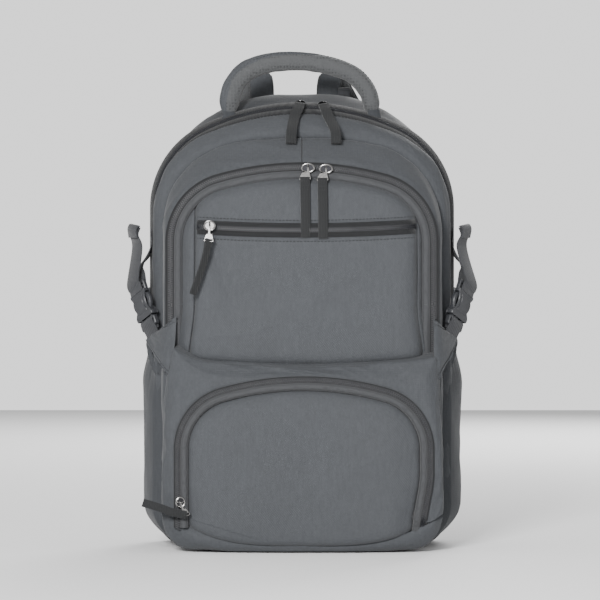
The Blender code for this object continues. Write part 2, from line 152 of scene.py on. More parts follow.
def loop(shape, base, corner, count, inset=0.0, x0=0.0):
    """Closed arched outline from the middle of the base, right, over the top and back."""
    a, r1, r2, half, centre, sx, sz = arch_parts(shape, inset)
    radius, foot = corner - inset, base + inset
    low_right, lrn = arc(a - radius, foot + radius, radius, math.pi, math.pi / 2, 30)
    right, rn = arc(sx, sz, r2, math.pi / 2, half)
    top, tn = arc(0, centre, r1, half, -half, 120)
    left, ln = arc(-sx, sz, r2, -half, -math.pi / 2)
    low_left, lln = arc(-a + radius, foot + radius, radius, -math.pi / 2, -math.pi, 30)
    points = np.vstack([[[0, foot]], low_right, right, top, left, low_left, [[0, foot]]])
    normals = np.vstack([[[0, -1]], lrn, rn, tn, ln, lln, [[0, -1]]])
    points, normals = resample(points, normals, count)
    return points + [x0, 0], normals


def to_3d(points, y):
    """Points in x and z, placed at depth y."""
    points = np.asarray(points)
    return np.stack([points[:, 0], np.broadcast_to(y, len(points)), points[:, 1]], 1)


def unit(vectors):
    """Vectors scaled to length 1."""
    vectors = np.asarray(vectors, float)
    return vectors / np.maximum(np.linalg.norm(vectors, axis=-1, keepdims=True), 1e-12)


def smooth(x, low, high):
    """Eased step from 0 at low to 1 at high."""
    t = np.clip((np.asarray(x, float) - low) / (high - low), 0, 1)
    return t * t * (3 - 2 * t)


def noise(u, v, seed, octaves=3):
    """Smooth lattice noise from -1 to 1."""
    total, amount, size = 0.0, 0.0, 1.0
    for octave in range(octaves):
        table = np.random.default_rng(seed + octave).uniform(-1, 1, (64, 64))
        x, y = np.asarray(u) * 2 ** octave, np.asarray(v) * 2 ** octave
        i, j = np.floor(x).astype(int), np.floor(y).astype(int)
        fx, fy = x - i, y - j
        fx, fy = fx * fx * (3 - 2 * fx), fy * fy * (3 - 2 * fy)
        i, j = i % 63, j % 63
        low = table[i, j] * (1 - fx) + table[i + 1, j] * fx
        high = table[i, j + 1] * (1 - fx) + table[i + 1, j + 1] * fx
        total = total + size * (low * (1 - fy) + high * fy)
        amount += size
        size *= 0.5
    return total / amount


# ---------------------------------------------------------------- meshes
class Shape:
    """Collects vertices, faces and material numbers for one piece."""

    def __init__(self):
        self.verts, self.faces, self.mats = [], [], []
        self.count = 0

    def add(self, verts, faces, mat=0):
        """Adds vertices and faces. mat is one material number, or a list with one for each face."""
        verts = np.asarray(verts, float).reshape(-1, 3)
        self.verts.append(verts)
        self.faces += [tuple(int(i) + self.count for i in f) for f in faces]
        self.mats += mat if isinstance(mat, list) else [mat] * len(faces)
        self.count += len(verts)

    def build(self, name, materials, body=None, smooth_angle=40, replaces=()):
        mesh = bpy.data.meshes.new(name)
        mesh.from_pydata(np.vstack(self.verts).tolist(), [], self.faces)
        for material in materials:
            mesh.materials.append(material)
        mesh.polygons.foreach_set("material_index", self.mats)
        mesh.validate()
        solid = bmesh.new()
        solid.from_mesh(mesh)
        bmesh.ops.recalc_face_normals(solid, faces=solid.faces)
        solid.to_mesh(mesh)
        solid.free()
        mesh.shade_smooth()
        mesh.set_sharp_from_angle(angle=math.radians(smooth_angle))
        obj = bpy.data.objects.new(name, mesh)
        bpy.context.scene.collection.objects.link(obj)
        if body:
            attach(obj, body)
        if replaces:
            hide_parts(*replaces)
        return obj


def grid_faces(rows, columns, offset=0, closed=False, flip=False):
    """Faces between the rows of a grid of points. closed joins the last column to the first."""
    faces = []
    last = columns if closed else columns - 1
    for r in range(rows - 1):
        for c in range(last):
            n = (c + 1) % columns
            quad = (r * columns + c, r * columns + n, (r + 1) * columns + n, (r + 1) * columns + c)
            faces.append(tuple(i + offset for i in (quad[::-1] if flip else quad)))
    return faces


def ring_faces(count, sides, looped=False):
    """Faces of a tube made of count rings, joined into a loop or capped at both ends."""
    faces = grid_faces(count, sides, closed=True)
    last = (count - 1) * sides
    if looped:
        return faces + [(last + k, last + (k + 1) % sides, (k + 1) % sides, k) for k in range(sides)]
    return faces + [tuple(range(sides))[::-1], tuple(range(last, count * sides))]


def grid_normals(points):
    """Unit normals of a grid of points, on the side that its faces look to."""
    return unit(np.cross(np.gradient(points, axis=1), np.gradient(points, axis=0)))


def skin(shape, points, thick, outer=0, inner=1):
    """A fabric sheet of real thickness: outer face, lining inside, closed edges."""
    rows, columns = points.shape[:2]
    base = rows * columns
    face = grid_faces(rows, columns)
    back = grid_faces(rows, columns, base, flip=True)
    rim = []
    for row, turn in ((0, 1), (rows - 1, -1)):
        for a in range(row * columns, row * columns + columns - 1):
            rim.append((a + 1, a, base + a, base + a + 1)[::turn])
    for column, turn in ((0, 1), (columns - 1, -1)):
        for a in range(column, column + (rows - 1) * columns, columns):
            rim.append((a, a + columns, base + a + columns, base + a)[::turn])
    under = points - grid_normals(points) * thick
    shape.add(np.vstack([points.reshape(-1, 3), under.reshape(-1, 3)]), face + back + rim,
              [outer] * len(face) + [inner] * len(back) + [outer] * len(rim))


def tube(path, radius, sides=8, closed=False):
    """A round tube along a path."""
    path = np.asarray(path, float)
    if closed:
        tangents = unit(np.roll(path, -1, 0) - np.roll(path, 1, 0))
    else:
        tangents = unit(np.gradient(path, axis=0))
    up = V([0, 0, 1.0]) if abs(tangents[0][2]) < 0.9 else V([1.0, 0, 0])
    normal = unit(up - tangents[0] * up.dot(tangents[0]))
    angles = np.linspace(0, 2 * math.pi, sides, endpoint=False)
    rings = []
    for point, ahead in zip(path, tangents):
        normal = unit(normal - ahead * normal.dot(ahead))
        side = np.cross(ahead, normal)
        rings.append(point + radius * (np.outer(np.cos(angles), normal) + np.outer(np.sin(angles), side)))
    return np.vstack(rings), ring_faces(len(path), sides, closed)


def strap_frame(path, across):
    """Tangents of a path, width directions square to them, and the normals of the strap's face."""
    tangents = unit(np.gradient(path, axis=0))
    across = unit(np.broadcast_to(across, path.shape))
    across = unit(across - tangents * np.sum(across * tangents, 1, keepdims=True))
    return tangents, across, np.cross(across, tangents)


RIBBON_SECTION = [(-0.5, -0.35), (-0.47, -0.5), (0.47, -0.5), (0.5, -0.35),
                  (0.5, 0.35), (0.47, 0.5), (-0.47, 0.5), (-0.5, 0.35)]


def ribbon(path, across, width, thick):
    """Webbing along a path. across gives the width direction, for the whole path or at each point."""
    path = np.asarray(path, float)
    _, across, normals = strap_frame(path, across)
    width = np.broadcast_to(width, len(path))[:, None]
    rings = [path + across * width * u + normals * thick * n for u, n in RIBBON_SECTION]
    return np.stack(rings, 1).reshape(-1, 3), ring_faces(len(path), len(RIBBON_SECTION))


def plate(outline, thick, axes, origin, bevel=0.0003):
    """A flat plate with bevelled rims. outline is in the first two axes, thickness on the third."""
    outline = np.asarray(outline, float)
    u, v, w = (np.asarray(a, float) for a in axes)
    inward = unit(outline.mean(0) - outline) * bevel
    levels = [(-thick / 2, inward), (-thick / 2 + bevel, 0 * inward), (thick / 2 - bevel, 0 * inward),
              (thick / 2, inward)]
    rings = []
    for height, shift in levels:
        flat = outline + shift
        rings.append(origin + np.outer(flat[:, 0], u) + np.outer(flat[:, 1], v) + w * height)
    return np.vstack(rings), ring_faces(len(levels), len(outline))


def rounded_rect(width, height, radius, steps=5):
    """Outline of a rectangle with rounded corners, round the origin."""
    points = []
    for cx, cy, start in ((1, 1, 0), (-1, 1, 90), (-1, -1, 180), (1, -1, 270)):
        for k in range(steps + 1):
            t = math.radians(start + 90 * k / steps)
            points.append((cx * (width / 2 - radius) + radius * math.cos(t),
                           cy * (height / 2 - radius) + radius * math.sin(t)))
    return points


def frame_plate(outer, inner, thick, axes, origin, bevel=0.0003):
    """A plate with a window: two outlines with the same number of points."""
    outer, inner = np.asarray(outer, float), np.asarray(inner, float)
    u, v, w = (np.asarray(a, float) for a in axes)
    out_in = unit(outer.mean(0) - outer) * bevel
    in_out = -unit(inner.mean(0) - inner) * bevel
    levels = [(outer + out_in, -thick / 2), (outer, -thick / 2 + bevel), (outer, thick / 2 - bevel),
              (outer + out_in, thick / 2), (inner + in_out, thick / 2), (inner, thick / 2 - bevel),
              (inner, -thick / 2 + bevel), (inner + in_out, -thick / 2)]
    rings = [origin + np.outer(p[:, 0], u) + np.outer(p[:, 1], v) + w * h for p, h in levels]
    return np.vstack(rings), ring_faces(len(levels), len(outer), looped=True)


STITCH_RINGS = ((0.0, 0.45, -0.5), (0.2, 1.0, 0.3), (0.8, 1.0, 0.3), (1.0, 0.45, -0.5))
STITCH_SECTION = ((1, 0), (0.3, 1), (-0.3, 1), (-1, 0), (-0.3, -0.8), (0.3, -0.8))


def stitches(shape, path, normals, pitch=0.0034, length=0.0024, radius=0.00028, mat=0, lift=0.0002):
    """Thread along a path, one small rounded stitch after another."""
    path = np.asarray(path, float)
    count = max(int(np.sum(step_lengths(path)) / pitch), 2)
    both, out = resample(path, np.broadcast_to(normals, path.shape), count)
    faces = ring_faces(len(STITCH_RINGS), len(STITCH_SECTION))
    for i in range(len(both) - 1):
        ahead = unit(both[i + 1] - both[i])
        start = both[i] + out[i] * lift
        side = np.cross(ahead, out[i])
        verts = []
        for along, size, drop in STITCH_RINGS:
            centre = start + ahead * length * along + out[i] * radius * drop
            for a, b in STITCH_SECTION:
                verts.append(centre + side * a * radius * size * 1.3 + out[i] * b * radius * size)
        shape.add(verts, faces, mat)


# ---------------------------------------------------------------- materials
def srgb(r, g, b):
    """A linear colour from screen values of 0 to 255."""
    return tuple(((c / 255 + 0.055) / 1.055) ** 2.4 if c > 10 else c / 255 / 12.92
                 for c in (r, g, b)) + (1,)


class Nodes:
    """Short names for the nodes that the materials here are made of."""

    def __init__(self, name, roughness=0.8, metallic=0.0):
        self.mat = bpy.data.materials.new(name)
        self.mat.use_nodes = True
        self.tree = self.mat.node_tree
        self.shader = self.tree.nodes["Principled BSDF"]
        self.shader.inputs["Roughness"].default_value = roughness
        self.shader.inputs["Metallic"].default_value = metallic
        self.coords = self.tree.nodes.new("ShaderNodeTexCoord").outputs["Object"]

    def new(self, kind, **values):
        node = self.tree.nodes.new(kind)
        for key, value in values.items():
            setattr(node, key, value)
        return node

    def link(self, a, b):
        self.tree.links.new(a, b)

    def noise(self, scale, detail=3.0, rough=0.55, stretch=None):
        node = self.new("ShaderNodeTexNoise")
        node.inputs["Scale"].default_value = scale
        node.inputs["Detail"].default_value = detail
        node.inputs["Roughness"].default_value = rough
        self.link(self.mapped(scale=stretch) if stretch else self.coords, node.inputs["Vector"])
        return node.outputs["Fac"]

    def mapped(self, scale=(1, 1, 1), rotation=(0, 0, 0)):
        node = self.new("ShaderNodeMapping")
        node.inputs["Scale"].default_value = scale
        node.inputs["Rotation"].default_value = rotation
        self.link(self.coords, node.inputs["Vector"])
        return node.outputs["Vector"]

    def wave(self, scale, direction, distortion=0.0, vector=None):
        node = self.new("ShaderNodeTexWave", bands_direction=direction)
        node.inputs["Scale"].default_value = scale
        node.inputs["Distortion"].default_value = distortion
        node.inputs["Detail"].default_value = 1.0
        self.link(vector or self.coords, node.inputs["Vector"])
        return node.outputs["Fac"]

    def math(self, kind, a, b):
        node = self.new("ShaderNodeMath", operation=kind)
        for socket, value in zip(node.inputs, (a, b)):
            if isinstance(value, (int, float)):
                socket.default_value = value
            else:
                self.link(value, socket)
        return node.outputs[0]

    def ramp(self, factor, low, high, colour_low, colour_high):
        node = self.new("ShaderNodeValToRGB")
        node.color_ramp.elements[0].position = low
        node.color_ramp.elements[1].position = high
        node.color_ramp.elements[0].color = colour_low
        node.color_ramp.elements[1].color = colour_high
        self.link(factor, node.inputs["Fac"])
        return node.outputs["Color"]

    def mix(self, factor, a, b, kind="MIX"):
        node = self.new("ShaderNodeMix", data_type="RGBA", blend_type=kind)
        for name, value in (("Factor", factor), ("A", a), ("B", b)):
            socket = node.inputs[name]
            if isinstance(value, (int, float, tuple)):
                socket.default_value = value
            else:
                self.link(value, socket)
        return node.outputs["Result"]

    def colour(self, value):
        self.link(value, self.shader.inputs["Base Color"])

    def bump(self, height, strength, distance):
        node = self.new("ShaderNodeBump")
        node.inputs["Strength"].default_value = strength
        node.inputs["Distance"].default_value = distance
        self.link(height, node.inputs["Height"])
        self.link(node.outputs["Normal"], self.shader.inputs["Normal"])

    def rough(self, factor, low, high):
        node = self.new("ShaderNodeMapRange")
        node.inputs["To Min"].default_value = low
        node.inputs["To Max"].default_value = high
        self.link(factor, node.inputs["Value"])
        self.link(node.outputs["Result"], self.shader.inputs["Roughness"])


FADING = 0.06               # how much cloudy wear lightens and darkens the cloth


def shade(colour, factor):
    """A colour made lighter or darker."""
    return tuple(c * factor for c in colour[:3]) + (1,)


def fabric(name, colour, thread=0.0009, contrast=0.16, sheen=0.08, twill=False):
    """Woven polyester: melange threads, weave relief, faint cloudy fading and a soft sheen."""
    n = Nodes(name)
    scale = 1 / thread
    rotation = (0, math.radians(38), 0) if twill else (0, 0, 0)
    grain = n.mapped(rotation=rotation)
    warp = n.wave(scale * 0.16, "X", 1.4, grain)
    weft = n.wave(scale * 0.16, "Z", 1.4, grain)
    depth = n.wave(scale * 0.16, "Y", 1.4, grain)
    weave = n.math("MULTIPLY", n.math("ADD", warp, depth), n.math("ADD", weft, 0.4))
    streaks = n.noise(scale * 0.34, 2.0, 0.6, stretch=(1, 1, 0.22))
    fleck = n.noise(scale * 0.30, 3.0, 0.7)
    clouds = n.noise(14, 4.0, 0.6)
    melange = n.math("ADD", n.math("MULTIPLY", streaks, 0.5), n.math("MULTIPLY", fleck, 0.5))
    base = n.ramp(melange, 0.30, 0.72, shade(colour, 1 - contrast), shade(colour, 1 + contrast))
    cloudy = n.ramp(clouds, 0.25, 0.8, shade((1, 1, 1), 1 - FADING), shade((1, 1, 1), 1 + FADING))
    n.colour(n.mix(1.0, base, cloudy, "MULTIPLY"))
    n.shader.inputs["Sheen Weight"].default_value = sheen
    n.shader.inputs["Sheen Roughness"].default_value = 0.45
    n.shader.inputs["Specular IOR Level"].default_value = 0.25
    n.rough(clouds, 0.72, 0.92)
    n.bump(n.math("ADD", n.math("MULTIPLY", weave, 0.6), n.math("MULTIPLY", fleck, 0.7)), 0.24, 0.0004)
    return n.mat


def ribbed(name, colour, pitch=0.0016, direction="X", contrast=0.3, rough=0.8):
    """Woven tape or webbing: raised ribs across it, with a slight fleck."""
    n = Nodes(name, rough)
    ribs = n.wave(1 / pitch / 3.18, direction, 0.25)
    cross = n.wave(1 / pitch / 2.2, "Z" if direction != "Z" else "X", 0.4)
    fleck = n.noise(900, 3.0, 0.7)
    height = n.math("ADD", n.math("MULTIPLY", ribs, 0.7), n.math("MULTIPLY", cross, 0.3))
    n.colour(n.ramp(n.math("ADD", n.math("MULTIPLY", height, 0.6), n.math("MULTIPLY", fleck, 0.4)),
                    0.2, 0.8, shade(colour, 1 - contrast), shade(colour, 1 + contrast * 0.6)))
    n.shader.inputs["Sheen Weight"].default_value = 0.15
    n.shader.inputs["Specular IOR Level"].default_value = 0.3
    n.bump(height, 0.5, 0.0005)
    return n.mat


def air_mesh(name, colour, cell=0.0031):
    """Spacer mesh: slightly uneven round cells, with painted shade darkening the bottom of each hole."""
    n = Nodes(name)
    node = n.new("ShaderNodeTexVoronoi", feature="F1")
    node.inputs["Scale"].default_value = 1 / cell
    node.inputs["Randomness"].default_value = 0.25
    n.link(n.coords, node.inputs["Vector"])
    hole = node.outputs["Distance"]
    fleck = n.noise(700, 2.0, 0.6)
    # darker towards each cell's centre: painted shade at the bottom of the holes
    base = n.ramp(hole, 0.12, 0.42, shade(colour, 0.45), shade(colour, 1.12))
    n.colour(n.mix(0.25, base, n.ramp(fleck, 0.3, 0.7, shade(colour, 0.6), shade(colour, 1.2))))
    n.shader.inputs["Sheen Weight"].default_value = 0.2
    n.shader.inputs["Specular IOR Level"].default_value = 0.2
    n.bump(hole, 0.7, 0.0009)
    return n.mat


def metal(name, colour):
    """Polished metal with faint scratches."""
    n = Nodes(name, 0.22, 1.0)
    marks = n.noise(420, 5.0, 0.65, stretch=(1, 1, 6))
    n.colour(n.ramp(marks, 0.2, 0.8, shade(colour, 0.75), shade(colour, 1.15)))
    n.rough(marks, 0.14, 0.36)
    n.bump(marks, 0.08, 0.0002)
    return n.mat


def plastic(name, colour, rough=0.42):
    """Moulded acetal: fine spark-eroded grain and a little scuffing."""
    n = Nodes(name, rough)
    grain = n.noise(1500, 3.0, 0.6)
    scuff = n.noise(120, 4.0, 0.6)
    n.colour(n.ramp(scuff, 0.3, 0.75, shade(colour, 0.9), shade(colour, 1.12)))
    n.rough(scuff, rough - 0.08, rough + 0.14)
    n.bump(grain, 0.18, 0.0002)
    return n.mat


M = {
    "panel": fabric("panel_twill", srgb(61, 63, 66), contrast=0.13, twill=True),
    "body": fabric("body_weave", srgb(59, 61, 64), contrast=0.15),
    # slightly darker gusset fabric, darkened further as painted shade for the rear gusset's top and sides and for
    # the handle tabs
    "gusset": fabric("gusset_weave_with_painted_shade", srgb(45, 47, 50), contrast=0.15),
    "pocket": fabric("pocket_weave", srgb(52, 54, 57), contrast=0.15),
    "lining": fabric("lining_weave", srgb(84, 86, 89), 0.0006, 0.08, 0.1),
    "binding": ribbed("grosgrain_binding", srgb(54, 55, 57), 0.0013, "Y", 0.22),
    "zip_tape": ribbed("zip_tape_weave", srgb(17, 18, 20), 0.0010, "Y", 0.25),
    "coil": plastic("zip_coil", srgb(27, 28, 33), 0.45),
    "mesh": air_mesh("spacer_mesh", srgb(64, 65, 66)),
    "pull": ribbed("pull_tape_weave", srgb(27, 28, 29), 0.0017, "X", 0.35),
    "webbing": ribbed("strap_webbing", srgb(46, 47, 50), 0.0018, "Y", 0.3),
    "metal": metal("gunmetal", (0.27, 0.265, 0.26, 1)),
    "dark_metal": metal("blackened_metal", (0.020, 0.020, 0.022, 1)),
    "plastic": plastic("buckle_acetal", srgb(46, 47, 50)),
    # colour of the zip cords, and also of the dark tubes that paint shade along the binding seams
    "cord": plastic("zip_cord_and_seam_shade", srgb(20, 21, 24), 0.7),
    "dark_plastic": plastic("ladder_acetal", srgb(44, 45, 47)),
    "thread": plastic("sewing_thread", srgb(24, 25, 27), 0.7),
    "board": plastic("stiffener_board", srgb(40, 40, 42), 0.6),
}


# ---------------------------------------------------------------- camera, lights, floor
def camera():
    """A level camera with a long lens, in front of the bag."""
    data = bpy.data.cameras.new("camera")
    data.lens = 200
    data.sensor_width = 36
    obj = bpy.data.objects.new("camera", data)
    obj.location = (-0.002, -3.41, 0.251)
    obj.rotation_euler = (math.pi / 2, 0, 0)
    bpy.context.scene.collection.objects.link(obj)
    bpy.context.scene.camera = obj


def area_light(name, place, target, size, power):
    """A round soft light at place, turned towards target."""
    data = bpy.data.lights.new(name, "AREA")
    data.shape = "DISK"
    data.size = size
    data.energy = power
    obj = bpy.data.objects.new(name, data)
    obj.location = place
    bpy.context.scene.collection.objects.link(obj)
    away = V(place, dtype=float) - V(target, dtype=float)
    obj.rotation_euler = mathutils.Vector(away).to_track_quat("Z", "Y").to_euler()


SKY_LIGHT, SKY_SEEN = 0.60, 1.42        # how strongly the sky lights the bag, and how bright it looks


def studio():
    """A wide pale floor under an even white sky, a broad key from the upper left, and fills."""
    floor = Shape()
    reach, drop = 4.2, 0.0004
    floor.add([(x * reach, y * reach, -drop) for x, y in ((-1, -1), (1, -1), (1, 1), (-1, 1))], [(0, 1, 2, 3)])
    n = Nodes("studio_paper", 0.95)
    n.colour(n.ramp(n.noise(3, 2.0), 0.2, 0.8, (0.915, 0.915, 0.915, 1), (0.925, 0.925, 0.925, 1)))
    n.shader.inputs["Specular IOR Level"].default_value = 0.05
    floor.build("studio_floor", [n.mat])
    world = bpy.data.worlds.new("studio_world")
    world.use_nodes = True
    world.node_tree.nodes["Background"].inputs["Color"].default_value = (1, 1, 1, 1)
    tree = world.node_tree
    seen = tree.nodes.new("ShaderNodeLightPath").outputs["Is Camera Ray"]
    mixed = tree.nodes.new("ShaderNodeMath")
    mixed.operation = "MULTIPLY_ADD"
    tree.links.new(seen, mixed.inputs[0])
    mixed.inputs[1].default_value = SKY_SEEN - SKY_LIGHT
    mixed.inputs[2].default_value = SKY_LIGHT
    tree.links.new(mixed.outputs[0], tree.nodes["Background"].inputs["Strength"])
    bpy.context.scene.world = world
    area_light("key", (-0.75, -3.3, 1.30), (0, 0, 0.24), 0.8, 196)
    area_light("front_fill", (-0.2, -3.3, 0.5), (0, 0, 0.22), 1.6, 24)
    area_light("back_fill", (0.8, 3.0, 1.8), (0, 0, 0.25), 1.6, 95)


camera()
studio()


# ---------------------------------------------------------------- the big shells
SEAM_Y = -0.0280
MAIN_ZIP_FOOT = 0.150
ZIP2_Y = -0.0650


def eased(count):
    """Values from 0 to 1, closer together at both ends."""
    return (1 - np.cos(np.pi * np.linspace(0, 1, count))) / 2


def folds(s_, v, seed):
    """Soft creases in slack cloth: narrow valleys between broad rounded ridges."""
    return 0.35 - np.abs(noise(s_, v, seed, 2)) ** 0.6


ROUNDNESS = 0.62            # below 1, so that a puffed strip is fuller than a sine


def lofted(a, b, rows, edge=0.0046, puckers=0.0006, wave=0.0019, seed=1, bulge_at=0.0, creases=0.0015):
    """A puffed strip of fabric between two seams, tucked in and lightly puckered at both."""
    v = eased(rows)
    flat = a[None] + (b - a)[None] * v[:, None, None]
    tangent = unit(np.gradient(a + b, axis=0))
    normal = unit(np.cross(tangent, b - a))
    height = (np.sin(np.pi * v) ** ROUNDNESS)[:, None]
    steps = travel(a)[None]
    span = np.linalg.norm(b - a, axis=1)[None]
    near = np.minimum(v, 1 - v)[:, None] * span
    vv = v[:, None]
    off = height * np.broadcast_to(bulge_at, (len(a),))[None]
    off = off - edge * np.exp(-near / 0.0017)
    off = off + puckers * noise(steps / 0.0075 + 3.1 * seed, vv * 1.4, seed, 2) * np.exp(-near / 0.007)
    off = off + (puckers * 1.6 * noise(steps / 0.021 + 1.7 * seed, vv * 1.1, seed + 2, 2)
                 * np.exp(-near / 0.014))
    off = off + wave * noise(steps / 0.070, vv * 1.7 + seed, seed + 5, 3) * height
    off = off + creases * folds(steps / 0.050 + vv * 0.9, vv * 1.5 + steps / 0.11, seed + 9) * height
    return flat + normal[None] * off[..., None]


def panel(name, points, body, mat, thick=0.0022, replaces=()):
    """One sheet of fabric with its lining, as a piece of its own."""
    shape = Shape()
    skin(shape, points, thick)
    return shape.build(name, [M[mat], M["lining"]], body, 60, replaces)


def rear_gusset():
    """Rear and main compartments' outer wall, from the back panel's seam to the main zip."""
    n = 420
    back, _ = loop(BACK, 0.002, CORNER, n)
    mid, _ = loop(REAR, 0.0005, CORNER, n)
    front, _ = loop(ZIP_1, 0.0008, CORNER, n, -0.0025)
    rows = []
    front_y, mid_y, back_y = 0.0092, 0.064, 0.0815
    v = eased(40)
    for y in np.interp(v, [0.0, 0.04, 0.30, 0.62, 1.0], [back_y, 0.0795, 0.0620, 0.0370, front_y]):
        t, t2 = smooth(y, front_y, mid_y), smooth(y, mid_y, back_y)
        ring = front * (1 - t) + mid * t if t2 == 0 else mid * (1 - t2) + back * t2
        rows.append(to_3d(ring, y))
    points = np.stack(rows)
    normal = grid_normals(points)
    up = smooth(points[..., 2], 0.004, 0.03)
    steps = travel(points[20])
    body = np.sin(np.pi * v) ** 0.8
    off = 0.0018 * body[:, None] * noise(steps[None] / 0.05, v[:, None] * 1.8, 21, 3)
    off = off + 0.0011 * body[:, None] * folds(steps[None] / 0.060 + v[:, None], v[:, None] * 1.6, 24)
    seam = np.exp(-np.minimum(v, 1 - v)[:, None] * 0.072 / 0.0018)
    off = off - 0.0040 * seam
    off = off + 0.0006 * noise(steps[None] / 0.009, v[:, None] * 2, 27, 2) * np.exp(
        -np.minimum(v, 1 - v)[:, None] * 0.072 / 0.008)
    off = off + 0.0015 * body[:, None] * smooth(points[..., 2], 0.06, 0.16)
    points = points + normal * (off * up)[..., None]
    points[..., 2] = np.maximum(points[..., 2], 0.0004)
    points[:, -1] = points[:, 0]
    # gusset fabric, darkened as painted shade
    panel("rear_gusset", points, "pack", "gusset",
          replaces=("rear_shell",))


def front_half():
    """Puffed band behind the first seam and the gusset in front of it; both cross the fold."""
    n = 640
    a, _ = loop(ZIP_1, 0.0022, CORNER, n, 0.0035)
    b, _ = loop(SEAM, 0.0028, CORNER, n)
    c, _ = loop(ZIP_2, 0.0032, CORNER - 0.004, n, -0.0026)
    crown = (n - 1) / 2
    at = np.sort(np.r_[np.arange(n), crown + np.linspace(-2.5, 2.5, 41)])
    a, b, c = (np.stack([np.interp(at, np.arange(n), k) for k in p.T], 1) for p in (a, b, c))
    z = (a[:, 1] + b[:, 1]) / 2
    side = smooth(z, 0.02, 0.08) * (1 - smooth(z, 0.36, 0.43))
    off_floor = smooth(z, 0.004, 0.05)
    band = lofted(to_3d(a, -0.0006), to_3d(b, SEAM_Y), 26, bulge_at=off_floor * (0.0042 + 0.0050 * side),
                  seed=3, wave=0.0020, edge=0.0058)
    gusset = lofted(to_3d(b, SEAM_Y - 0.0004), to_3d(c, ZIP2_Y + 0.0006), 28, seed=7, wave=0.0018, edge=0.0052,
                    bulge_at=off_floor * (0.0024 + 0.0010 * side), creases=0.0014)
    x, high = gusset[..., 0], gusset[..., 2] > 0.3
    dip = (0.0026 * np.exp(-(x / 0.0006) ** 2)
           + 0.0008 * smooth(x, -0.0004, 0.0004) * np.exp(-np.abs(x) / 0.012))
    gusset[..., 2] -= dip * high
    band[-1] = gusset[0] = (band[-1] + gusset[0]) / 2
    for points in (band, gusset):
        points[:, -1] = points[:, 0]
    one = panel("puffed_band", band, None, "body",
                replaces=("main_flap_shell", "lower_front_shell"))
    two = panel("front_gusset_fabric", gusset, None, "body", replaces=("front_gusset",))
    shape = Shape()
    normal = grid_normals(band)
    for row, low in ((5, 0.30), (7, 0.40)):
        keep = band[row, :, 2] > low
        stitches(shape, band[row][keep], normal[row][keep])
    three = shape.build("band_stitching", [M["thread"]], None, 60)
    for obj in (one, two, three):
        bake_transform(obj)


def closing_strip():
    """The strip that joins the two halves of the bag below the ends of the main zip."""
    ring, _ = loop(ZIP_1, 0.0016, CORNER, 640, 0.0012)
    low = ring[:, 1] < MAIN_ZIP_FOOT + 0.004
    split = int(np.argmin(low))
    path = np.vstack([ring[split:][low[split:]], ring[1:split]])
    sag = 0.0012 * np.sin(np.pi * np.linspace(0, 1, 7))
    points = np.stack([to_3d(path, y) for y in np.linspace(0.0135, -0.0050, 7)])
    points = points - grid_normals(points) * (sag[:, None] * smooth(path[:, 1], 0.0, 0.02)[None])[..., None]
    panel("closing_strip", points, "pack", "body", 0.0016)


def edge_distance(x, z, shape):
    """Distance inside an arched outline."""
    a, r1, r2, half, centre, sx, sz = arch_parts(shape, 0)
    x = np.abs(x)
    angle = np.arctan2(x, z - centre)
    top = r1 - np.hypot(x, z - centre)
    shoulder = r2 - np.hypot(x - sx, z - sz)
    return np.where(z <= sz, a - x, np.where((angle > half) & (x > sx), shoulder, top))


def arch_top(x, shape, inset):
    """Height of an arched outline above each x."""
    a, r1, r2, half, centre, sx, sz = arch_parts(shape, inset)
    x = np.minimum(np.abs(x), a)
    split = r1 * math.sin(half)
    crown = centre + np.sqrt(np.maximum(r1 ** 2 - x ** 2, 0))
    shoulder = sz + np.sqrt(np.maximum(r2 ** 2 - np.maximum(x - sx, 0) ** 2, 0))
    return np.where(x <= split, crown, shoulder)


FLAP_INSET = 0.0120
SEAM_LEFT, SEAM_RIGHT = -0.107, 0.1155
POCKET_Z = 0.3245


def pocket_sag(x):
    """Height of the upper pocket's zip, which hangs a little in the middle."""
    return POCKET_Z - 0.004 * (1 - (x / 0.112) ** 2)


def soft_min(a, b, k):
    """The smaller of two values, rounded over where they cross."""
    return -k * np.log(np.exp(-a / k) + np.exp(-b / k))


def lower_seam_z(x):
    """Height of the seam between the front panel and the lower pocket."""
    x = np.asarray(x, float)
    rise = 0.0045 * (np.abs(x) / 0.1) ** 2
    left = 0.008 * np.maximum(0, (-x - 0.095) / 0.03) ** 1.5
    return 0.1862 + rise + left


